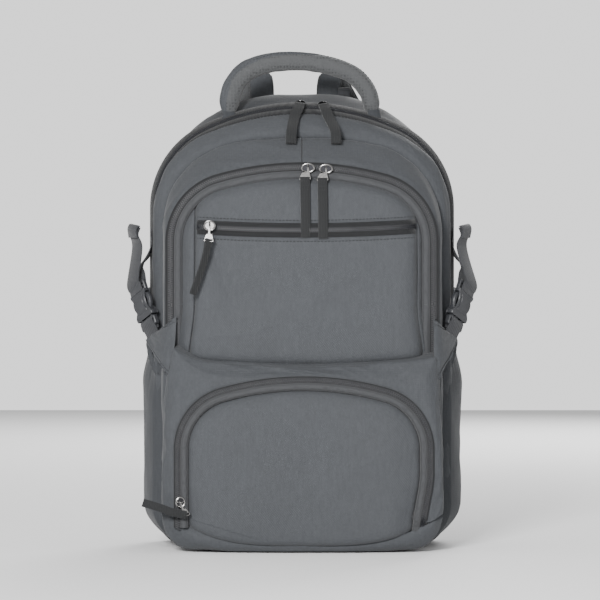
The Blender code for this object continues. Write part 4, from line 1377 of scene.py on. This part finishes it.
def buckle(tag):
    """Side-release buckle: plug with a guide and two sprung levers; socket with a waisted shell."""
    _, ahead, across, out = strap_axes(tag)
    axes = (across, ahead, out)
    plug = centre_of("plug_" + tag)
    mouth = plug + ahead * 0.0056
    shape = Shape()
    shape.add(*frame_plate(rounded_rect(0.0256, 0.0102, 0.0022), rounded_rect(0.0205, 0.0030, 0.0010),
                           0.0052, axes, plug, 0.0008))
    shape.add(*plate(rounded_rect(0.0215, 0.0022, 0.0010), 0.0034, axes, plug - ahead * 0.0002, 0.0006))
    shape.add(*plate(rounded_rect(0.0058, 0.0220, 0.0016), 0.0020, axes, mouth + ahead * 0.0104, 0.0005))
    lever = V([(9.6, -1), (10.2, 5), (11.6, 9), (13.6, 12), (14.7, 15), (14.9, 18), (14.3, 21), (12.9, 23.6),
               (11.0, 24.8), (9.4, 24.2), (9.2, 22.4), (10.6, 19), (10.7, 16), (9.7, 12.5), (8.3, 9), (7.4, 5),
               (6.9, -1)]) / 1000
    for side in (1, -1):
        outline = lever * V([side, 1])
        shape.add(*plate(outline if side > 0 else outline[::-1], 0.0044, axes, mouth, 0.0007))
    shape.build("buckle_plug_" + tag, [M["plastic"]], "pack", 40, ("plug_" + tag,))

    shape = Shape()
    start = mouth + ahead * 0.0004
    half = [(0, 13.2), (1.0, 13.9), (3.6, 13.9), (6.0, 12.6), (8.5, 10.6), (12, 9.6), (16, 9.3), (20, 9.8),
            (23, 11.2), (25.2, 12.6), (27.0, 13.2), (28.6, 12.9)]
    outline = [(w / 1000, s_ / 1000) for s_, w in half] + [(-w / 1000, s_ / 1000) for s_, w in half[::-1]]
    for lift, thick in ((0.0033, 0.0019), (-0.0033, 0.0019)):
        shape.add(*plate(outline, thick, axes, start + out * lift, 0.0008))
    ridge = [(w / 1000 * 0.55, s_ / 1000 * 0.62 + 0.0062) for s_, w in half]
    ridge += [(-w / 1000 * 0.55, s_ / 1000 * 0.62 + 0.0062) for s_, w in half[::-1]]
    shape.add(*plate(ridge, 0.0008, axes, start + out * 0.0044, 0.0004))
    collar = (across, out, ahead)
    shape.add(*frame_plate(rounded_rect(0.0278, 0.0084, 0.0026), rounded_rect(0.0232, 0.0050, 0.0010),
                           0.0044, collar, start + ahead * 0.0022, 0.0006))
    shape.add(*plate(rounded_rect(0.0250, 0.0064, 0.0018), 0.0030, collar, start + ahead * 0.0268, 0.0005))
    shape.add(*frame_plate(rounded_rect(0.0262, 0.0112, 0.0022), rounded_rect(0.0208, 0.0050, 0.0010),
                           0.0046, axes, start + ahead * 0.0325, 0.0008))
    shape.add(*plate(rounded_rect(0.0212, 0.0020, 0.0009), 0.0030, axes,
                     start + ahead * 0.0325 + out * 0.0004, 0.0005))
    shape.build("buckle_shell_" + tag, [M["plastic"]], "buckle_" + tag, 40,
                ("buckle_socket_" + tag,))


def strap_webbing(tag):
    """Short strap on the wing, strap up to the side seam, and the folded loose tail."""
    sign, ahead, across, out = strap_axes(tag)
    plug, socket = centre_of("plug_" + tag), centre_of("buckle_socket_" + tag)
    root = centre_of("plug_webbing_" + tag)
    shape = Shape()
    run = [root - ahead * 0.0260 - out * 0.0030, root - ahead * 0.0120 - out * 0.0002, root + out * 0.0010,
           plug + ahead * 0.0016 + out * 0.0034, plug + ahead * 0.0026, plug + ahead * 0.0010 - out * 0.0032,
           root - out * 0.0014 + ahead * 0.0012]
    shape.add(*ribbon(spline(run, 40), across, STRAP_WIDE - 0.0050, 0.0013))
    for at in (0.0045, 0.0075):
        line = [root - ahead * at + out * 0.0012 + across * u * 0.0090 for u in np.linspace(-1, 1, 10)]
        stitches(shape, line, out, 0.0020, 0.0015, 0.0003, 1)
    shape.build("plug_strap_" + tag, [M["webbing"], M["thread"]], "pack", 50,
                ("plug_webbing_" + tag,))

    slot = socket + ahead * 0.0146
    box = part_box("upper_webbing_" + tag)
    top = V([sign * 0.1545, 0.0205, box[HIGH][2] - 0.003])
    shape = Shape()
    run = [slot + out * 0.0012 + ahead * 0.0004, slot - out * 0.0030 + ahead * 0.0032,
           slot - out * 0.0052 + ahead * 0.0120, slot - out * 0.0068 + ahead * 0.0220 + V([0, 0.003, 0]),
           top + V([sign * 0.0012, -0.0100, -0.0190]), top + V([sign * 0.0006, -0.0030, -0.0060]), top,
           top + V([-sign * 0.0030, 0.0040, 0.0070])]
    path = spline(run, 60)
    turn = smooth(np.linspace(0, 1, 60), 0.25, 0.8)[:, None]
    sides = unit(across * (1 - turn) + V([sign * 0.04, 0.80, -0.60]) * turn)
    shape.add(*ribbon(path, sides, STRAP_WIDE - 0.0040, 0.0014))
    obj = shape.build("upper_strap_" + tag, [M["webbing"]], None, 50, ("upper_webbing_" + tag,))
    tuple(top - V([0, 0, 0.006]))
    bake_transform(obj)

    shape = Shape()
    _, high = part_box("webbing_tail_" + tag)
    edge = sign * (0.1690 if tag == "left" else 0.1640)
    end = V([edge, -0.0160, high[2] - 0.0010])
    run = [slot - ahead * 0.0050 + out * 0.0042, slot + ahead * 0.0010 + out * 0.0040,
           slot + ahead * 0.0090 + out * 0.0042, end - V([sign * 0.0012, -0.001, 0.0220]),
           end - V([-sign * 0.0022, 0, 0.0080]), end]
    path = spline(run, 48)
    turn = smooth(np.linspace(0, 1, 48), 0.3, 0.9)[:, None]
    lean = unit(V([sign * 0.46, 0.86, 0.12]))
    sides = unit(across * (1 - turn) + lean * turn)
    shape.add(*ribbon(path, sides, STRAP_WIDE - 0.0040, 0.0014))
    fold = spline([path[-1] + V([0, 0, 0.0004]), path[-1] + V([sign * 0.0014, -0.0008, 0.0012]),
                   path[-1] + V([sign * 0.0030, -0.0016, -0.0006]), path[-4] + V([sign * 0.0022, -0.0014, 0]),
                   path[-9] + V([sign * 0.0018, -0.0012, 0])], 22)
    shape.add(*ribbon(fold, lean, STRAP_WIDE - 0.0042, 0.0013))
    shape.build("tail_strap_" + tag, [M["webbing"]], "buckle_" + tag, 50,
                ("webbing_tail_" + tag,))


# ---------------------------------------------------------------- side pockets
def base_profile(z, half):
    """Half width of the bag near its rounded bottom corner."""
    drop = np.maximum(CORNER - np.asarray(z, float), 0)
    return half - CORNER + np.sqrt(np.maximum(CORNER ** 2 - drop ** 2, 0))


def side_pocket(tag):
    """Bottle pocket, gathered into an elastic hem."""
    sign = SIGN[tag]
    foot, swollen = 0.0055, 0.0125
    columns, rows = 130, 110
    t = np.linspace(0, 1, columns)
    front_y, rear_y = -0.0290, 0.0740
    y = front_y + (rear_y - front_y) * t
    wall = np.interp(y, [front_y, -0.020, 0.010, 0.060, rear_y], [0.1395, 0.1455, 0.1500, 0.1530, 0.1530])
    hem = 0.186 + 0.026 * smooth(t, 0, 0.55) - 0.004 * smooth(t, 0.75, 1.0)
    if sign > 0:
        hem = hem + 0.002
    v = np.linspace(0, 1, rows)[:, None]
    z = foot + (hem[None] - foot) * v
    swell = np.sin(np.pi * t) ** 0.55
    tall = smooth(z, 0.004, 0.045) * (1 - 0.52 * smooth(z, hem[None] - 0.050, hem[None]))
    bulge = swollen * swell[None] * tall
    x = base_profile(z, 0) + wall[None] + bulge
    gather = np.exp(-(hem[None] - z) / 0.018)
    x = x + 0.0013 * gather * swell[None] * noise(t[None] * 22, z * 18, 91 if sign < 0 else 95, 2)
    x = x + 0.0022 * swell[None] * tall * noise(t[None] * 2.8, z * 17, 93 if sign < 0 else 97, 3)
    x = x - 0.0016 * np.exp(-np.minimum(t, 1 - t)[None] * 0.103 / 0.0024)
    ys = np.broadcast_to(y, x.shape) + 0.0012 * gather * noise(t[None] * 20 + 3, z * 15, 99, 2)
    points = np.stack([sign * x, ys, z], -1)
    if sign < 0:
        points = points[:, ::-1]
    panel("bottle_pocket_" + tag, points, "pack", "pocket", 0.0018,
          replaces=("side_pocket_" + tag,))
    # elastic hem: a doubled strip that gathers the edge
    s = np.linspace(-1, 1, 12)[:, None]
    zz = hem[None] - 0.0058 + s * 0.0068
    xx = wall[None] + swollen * swell[None] * 0.50 + 0.0007
    ribs = 0.0011 * np.sin(t[None] * 2 * math.pi * 23 + 1.3 * np.sin(t[None] * 9)) * (0.5 + 0.5 * swell[None])
    ribs = ribs + 0.0007 * noise(t[None] * 30, s * 1.2 + 4, 103, 2)
    xx = xx + ribs * (1 - 0.5 * s ** 2) + 0.0012 * (1 - s ** 4)
    strip = np.stack([sign * xx, np.broadcast_to(y, xx.shape), zz + 0.0006 * np.sin(t[None] * 60)], -1)
    if sign < 0:
        strip = strip[:, ::-1]
    shape = Shape()
    skin(shape, strip, 0.0030, inner=0)
    stitches(shape, strip[2, 3:-3], grid_normals(strip)[2, 3:-3], mat=1, radius=0.0002)
    shape.build("pocket_hem_" + tag, [M["pocket"], M["thread"]], "pack", 60)


# ---------------------------------------------------------------- handle, hang loop
def handle():
    """Padded grab handle: fabric over the back and outside, spacer mesh in the palm."""
    spots = V([(-0.0742, 0.4340), (-0.0750, 0.4470), (-0.0735, 0.4600), (-0.0680, 0.4745), (-0.0555, 0.4870),
               (-0.0360, 0.4942), (-0.0100, 0.4966), (0.0150, 0.4945), (0.0370, 0.4893), (0.0520, 0.4825),
               (0.0638, 0.4710), (0.0700, 0.4580), (0.0730, 0.4360)])
    count = 150
    path = spline(np.stack([spots[:, 0], np.full(len(spots), 0.0160), spots[:, 1]], 1), count)
    sides = 48
    theta = np.linspace(0, 2 * math.pi, sides, endpoint=False)
    t = np.linspace(0, 1, count)
    edge = np.interp(t, [0, 0.30, 0.50, 0.62, 1.0], [78, 66, 42, 16, 12])
    ends = smooth(t, 0, 0.10) * (1 - smooth(t, 0.92, 1.0))
    tangents = unit(np.gradient(path, axis=0))
    outer = np.cross(V([0, 1.0, 0]), tangents)
    outer = outer * np.sign(np.sum(outer * (path - V([0, 0.016, 0.43])), 1, keepdims=True))
    front = V([0, -1.0, 0])
    grow = np.interp(t, [0, 0.15, 0.35, 0.55, 0.8, 1.0], [0.0098, 0.0110, 0.0102, 0.0094, 0.0092, 0.0086])
    rings = []
    far_seam = 236
    for i in range(count):
        radial = grow[i] * (0.45 + 0.55 * ends[i])
        deep = 0.0078 * (0.35 + 0.65 * ends[i])
        wave = 0.00035 * noise(theta * 3, t[i] * 26 + 0 * theta, 111, 2)
        groove = sum(np.exp(-(((np.degrees(theta) - e + 180) % 360 - 180) / 9) ** 2) for e in (edge[i], far_seam))
        r = 1 + wave / 0.008 - 0.085 * groove
        c, s_ = np.cos(theta), np.sin(theta)
        c, s_ = np.sign(c) * np.abs(c) ** 0.86, np.sign(s_) * np.abs(s_) ** 0.86
        rings.append(path[i] + np.outer(c * r * radial, outer[i]) + np.outer(s_ * r * deep, front))
    kinds = [int(edge[i] < (k + 0.5) * 360 / sides < far_seam)
             for i in range(count - 1) for k in range(sides)]
    shape = Shape()
    shape.add(np.vstack(rings), ring_faces(count, sides), kinds + [0, 0])
    rings = np.stack(rings)
    seam = V([rings[i, int(round((edge[i] - 11) / 360 * sides)) % sides] for i in range(8, count - 8)])
    stitches(shape, spline(seam[::6], 120), unit(V([0, -0.6, 0.8])), 0.0036, 0.0026,
             0.00025, 2, 0.0)
    obj = shape.build("handle_pad", [M["body"], M["mesh"], M["thread"]], "handle", 60,
                      ("grab_handle",))
    shape = Shape()
    for sign, x, z in ((-1, -0.0742, 0.4340), (1, 0.0732, 0.4360)):
        run = [V([x + sign * 0.0002, 0.0110, z + 0.0100]), V([x + sign * 0.0012, 0.0096, z]),
               V([x + sign * 0.0022, 0.0098, z - 0.0065])]
        shape.add(*ribbon(spline(run, 12), V([0.88, 0.1, -sign * 0.45]), np.linspace(0.0120, 0.0155, 12),
                          0.0022))
    # gusset fabric, darkened as painted shade
    shape.build("handle_tabs", [M["gusset"]], "pack", 50)


def hang_loop():
    """Webbing loop that stands up behind the handle."""
    low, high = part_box("hang_loop")
    x, wide = (low[0] + high[0]) / 2, high[0] - low[0]
    run = [(x, low[1] + 0.0030, low[2] - 0.006), (x, low[1] + 0.0012, low[2] + 0.002),
           (x, low[1] + 0.0010, high[2] - 0.004), (x, (low[1] + high[1]) / 2, high[2] - 0.0008),
           (x, high[1] - 0.0010, high[2] - 0.004), (x, high[1] - 0.0008, low[2] + 0.002),
           (x, high[1] + 0.0010, low[2] - 0.006)]
    shape = Shape()
    shape.add(*ribbon(spline(run, 40), V([1.0, 0, 0]), wide, 0.0014))
    shape.build("hanging_loop", [M["webbing"]], "pack", 50, ("hang_loop",))


# ---------------------------------------------------------------- back, pads and shoulder straps
def back_panel():
    """Mesh-covered back with a shallow groove down the spine, and the piping round it."""
    inset, radius = 0.0035, 0.0315
    columns, rows = 170, 200
    half = BACK[0] - inset
    x = np.sin(np.linspace(-math.pi / 2, math.pi / 2, columns)) * half
    top = arch_top(x, BACK, inset)
    drop = np.maximum(np.abs(x) - (half - radius), 0)
    low = 0.0055 + radius - np.sqrt(np.maximum(radius ** 2 - drop ** 2, 0))
    v = np.linspace(0, 1, rows)[:, None]
    z = low[None] + (top - low)[None] * v
    xs = np.broadcast_to(x, z.shape)
    e = np.maximum(np.minimum(edge_distance(xs, z, BACK) - inset, z - low[None]), 0)
    y = 0.0822 + 0.0022 * (1 - np.exp(-e / 0.006)) + 0.0004 * noise(xs / 0.03, z / 0.03, 121, 2)
    spine = np.exp(-(xs / 0.012) ** 2) * smooth(z, 0.03, 0.07) * (1 - smooth(z, 0.40, 0.44))
    y = y - 0.0012 * spine
    points = np.stack([xs, y, z], -1)[:, ::-1]
    panel("back_cover", points, "pack", "mesh", 0.0040, replaces=("back_panel",))
    ring, _ = loop(BACK, 0.002, CORNER, 260)
    ring[:, 1] = np.maximum(ring[:, 1], 0.0026)
    shape = Shape()
    shape.add(*tube(to_3d(ring[:-1], 0.0822), 0.0022, 10, closed=True))
    shape.build("back_piping", [M["binding"]], "pack", 60)


def back_pad(tag):
    """Pad in spacer mesh with three stitched channels."""
    low, high = (V(p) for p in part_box("back_pad_" + tag))
    centre, half = (low + high) / 2, (high - low) / 2
    columns, rows, radius = 60, 150, 0.022
    u, v = np.linspace(-1, 1, columns), np.linspace(-1, 1, rows)
    uu, vv = np.meshgrid(u, v)
    ex, ez = (1 - np.abs(uu)) * half[0], (1 - np.abs(vv)) * half[2]
    corner = np.hypot(np.maximum(radius - ex, 0), np.maximum(radius - ez, 0))
    inside = np.maximum(np.minimum(np.minimum(ex, ez), radius - corner + 0.0002), 0)
    in_corner = (radius - ex > 0) & (radius - ez > 0)
    scale = np.where(corner > radius, radius / np.maximum(corner, 1e-9), 1.0)
    x = np.where(in_corner, np.sign(uu) * (half[0] - radius + (radius - ex) * scale), uu * half[0])
    z = np.where(in_corner, np.sign(vv) * (half[2] - radius + (radius - ez) * scale), vv * half[2])
    thick = 0.0118 * (1 - np.exp(-inside / 0.0062)) * (1 - 0.12 * np.abs(uu) ** 2)
    for channel in (-0.095, 0.0, 0.095):
        bend = z - channel - 0.010 * (uu ** 2)
        thick = thick - 0.0062 * np.exp(-(bend / 0.0042) ** 2) * smooth(inside, 0, 0.008)
    thick = np.maximum(thick, 0.0006) + 0.0003 * noise(uu * 3, vv * 9, 131, 2) * smooth(inside, 0, 0.01)
    y = low[1] + 0.0002 + thick
    points = np.stack([x + centre[0], y, z + centre[2]], -1)[:, ::-1]
    base = points.copy()
    base[..., 1] = low[1] - 0.0004
    shape = Shape()
    top = rows * columns
    faces = grid_faces(rows, columns) + grid_faces(rows, columns, top, flip=True)
    ring = list(range(columns - 1)) + [r * columns + columns - 1 for r in range(rows - 1)]
    ring += [(rows - 1) * columns + c for c in range(columns - 1, 0, -1)]
    ring += [r * columns for r in range(rows - 1, 0, -1)]
    faces += [(ring[k], ring[k - 1], ring[k - 1] + top, ring[k] + top) for k in range(len(ring))]
    shape.add(np.vstack([points.reshape(-1, 3), base.reshape(-1, 3)]), faces)
    loop_points = V([points.reshape(-1, 3)[k] for k in ring])
    loop_points[:, 1] = low[1] + 0.0010
    cord = spline(np.vstack([loop_points[::6], loop_points[:1]]), 200)[:-1]
    shape.add(*tube(cord, 0.0016, 8, closed=True), 1)
    obj = shape.build("back_cushion_" + tag, [M["mesh"], M["binding"]], "pack", 60,
                      ("back_pad_" + tag,))


def shoulder_strap(tag):
    """Curved padded strap: mesh underneath, cord on both edges, webbing sewn down its face."""
    sign = SIGN[tag]
    pivot = V(JOINTS[f"strap_{tag}_swing"]["pos_m"])
    lock = centre_of("ladder_lock_" + tag)
    spots = [(0.000, pivot[1] - 0.0010, pivot[2] - 0.004), (0.000, pivot[1] + 0.0004, 0.4720),
             (0.002, 0.0955, 0.4845), (0.004, 0.1015, 0.4840), (0.008, 0.1058, 0.4710), (0.018, 0.1078, 0.4400),
             (0.034, 0.1084, 0.4000), (0.052, 0.1086, 0.3550), (0.068, 0.1088, 0.3050), (0.080, 0.1090, 0.2550),
             (0.084, 0.1090, 0.2100), (0.080, 0.1090, 0.1650)]
    reach = abs(lock[0] - pivot[0])
    path = spline([(pivot[0] + sign * dx / 0.080 * reach, y, z) for dx, y, z in spots], 170)
    t = np.linspace(0, 1, 170)
    width = np.interp(t, [0, 0.10, 0.22, 0.42, 0.62, 0.85, 1.0],
                      [0.022, 0.023, 0.038, 0.058, 0.057, 0.044, 0.034])
    thick = 0.0054 * (1 - 0.45 * smooth(t, 0.94, 1.0)) * (0.75 + 0.25 * smooth(t, 0.05, 0.2))
    sides = 44
    shape = Shape()

    def section(i):
        pad = rounded_section(width[i] / 2, thick[i], 0.52, sides)
        quilt = np.exp(-(((t[i] * 7.0) % 1 - 0.5) / 0.05) ** 2) * 0.0007 * smooth(t[i], 0.2, 0.3)
        pad[:, 1] -= np.sign(pad[:, 1]) * quilt * (np.abs(pad[:, 0]) < width[i] * 0.44)
        pad[:, 1] += 0.0003 * noise(pad[:, 0] / 0.01, np.full(sides, t[i] * 30), 141, 2)
        return pad

    tangents = unit(np.gradient(path, axis=0))
    across = np.cross(tangents, V([0, 1.0, 0]))
    turn = smooth(t, 0.12, 0.25)[:, None]
    across = unit(across * np.sign(across[:, :1] + 1e-9) * turn + V([1.0, 0, 0]) * (1 - turn))
    rings = sweep(shape, path, across, section, [int(side >= sides // 2) for side in range(sides)])
    for k in (0, sides // 2):
        shape.add(*tube(rings[:, k], 0.0013, 8), 2)
    normal = np.cross(across, tangents)
    outward = normal * np.sign(normal[:, 1:2])
    strap = path + outward * (thick[:, None] + 0.0002)
    shape.add(*ribbon(strap[36:158], across[36:158], 0.0200, 0.0013), 3)
    for at in range(44, 156, 14):
        line = [strap[at] + across[at] * u * 0.0085 + outward[at] * 0.0006 for u in np.linspace(-1, 1, 9)]
        stitches(shape, line, outward[at], 0.0019, 0.0014, 0.0003, 4)
    obj = shape.build("strap_pad_" + tag, [M["body"], M["mesh"], M["binding"], M["webbing"], M["thread"]],
                      "strap_" + tag, 60, ("shoulder_strap_" + tag,))


def ladder_lock(tag):
    """Ladder lock, its two webbings, and the patch that anchors the lower one."""
    sign = SIGN[tag]
    wide, thick = 0.0215, 0.0013
    centre = centre_of("ladder_lock_" + tag)
    axes = (V([1.0, 0, 0]), V([0, 0, 1.0]), V([0, 1.0, 0]))
    shape = Shape()
    shape.add(*frame_plate(rounded_rect(0.0300, 0.0270, 0.0040), rounded_rect(0.0236, 0.0196, 0.0016),
                           0.0042, axes, centre, 0.0010))
    for z, lift, tall in ((0.0050, 0.0, 0.0034), (-0.0046, 0.0008, 0.0030)):
        shape.add(*plate(rounded_rect(0.0245, tall, 0.0012), 0.0032, axes, centre + V([0, lift, z]), 0.0006))
    shape.build("ladder_buckle_" + tag, [M["dark_plastic"]], "strap_" + tag, 40,
                ("ladder_lock_" + tag,))
    shape = Shape()
    top = centre + V([0, 0, 0.0150])
    run = [top + V([0, -0.0004, 0.0120]), top + V([0, 0.0006, 0.0020]), top + V([0, 0.0036, -0.0040]),
           top + V([0, 0.0016, -0.0085]), top + V([0, -0.0034, -0.0062]), top + V([0, -0.0036, 0.0040])]
    shape.add(*ribbon(spline(run, 40), V([1.0, 0, 0]), 0.0220, thick))
    shape.build("ladder_strap_" + tag, [M["webbing"]], "strap_" + tag, 50)

    shape = Shape()
    anchor = centre_of("anchor_tab_" + tag) + V([0, 0.0012, 0.0048])
    bar = centre + V([0, 0.0008, -0.0046])
    run = [anchor + V([0, -0.0010, -0.0030]), anchor + V([0, 0.0020, 0.0060]),
           anchor * 0.5 + bar * 0.5 + V([0, 0.0030, -0.0050]), bar + V([0, -0.0044, -0.0120]),
           bar + V([0, -0.0038, -0.0010]), bar + V([0, 0.0006, 0.0034]), bar + V([0, 0.0046, -0.0010]),
           bar + V([0, 0.0052, -0.0160]), bar + V([sign * 0.0010, 0.0070, -0.0420]),
           bar + V([sign * 0.0030, 0.0060, -0.0720])]
    path = spline(run, 110)
    shape.add(*ribbon(path, V([1.0, 0, 0]), wide, thick))
    hem = path[-1]
    shape.add(*ribbon(spline([hem, hem + V([0, 0.0022, -0.0014]), hem + V([0, 0.0034, 0.0080])], 12),
                      V([1.0, 0, 0]), wide, thick))
    shape.build("adjuster_strap_" + tag, [M["webbing"]], "strap_webbing_" + tag, 50,
                ("lower_webbing_" + tag,))

    low, high = (V(p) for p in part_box("anchor_tab_" + tag))
    rows, columns = 16, 26
    v, u = np.meshgrid(np.linspace(0, 1, rows), np.linspace(-1, 1, columns), indexing="ij")
    middle = (low + high) / 2
    x = middle[0] + u * (0.0215 - 0.0095 * v) - sign * 0.0070 * (1 - v)
    z = low[2] - 0.0110 + v * (high[2] - low[2] + 0.0120)
    near = np.minimum(np.minimum(v, 1 - v) * 0.03, (1 - np.abs(u)) * 0.02)
    y = (low[1] - 0.0010 + 0.0030 * (1 - np.exp(-near / 0.0022))
         - 0.0007 * np.exp(-((near - 0.0028) / 0.0007) ** 2))
    grid = np.stack([x, y, z], -1)[:, ::-1]
    shape = Shape()
    skin(shape, grid, 0.0022, inner=0)
    stitches(shape, grid[3, 3:-3], V([0, 1.0, 0]), mat=1)
    shape.build("anchor_patch_" + tag, [M["body"], M["thread"]], "pack", 50,
                ("anchor_tab_" + tag,))


divider("laptop_sleeve", "laptop_divider", 141)
divider("compartment_wall", "compartment_divider", 143)
pulls()
handle()
hang_loop()
back_panel()
for tag in ("left", "right"):
    wing(tag)
    buckle(tag)
    strap_webbing(tag)
    side_pocket(tag)
    back_pad(tag)
    shoulder_strap(tag)
    ladder_lock(tag)

board = frame["nodes"]["base_board"]        # keeps its CAD solid
board.data.materials.clear()
board.data.materials.append(M["board"])
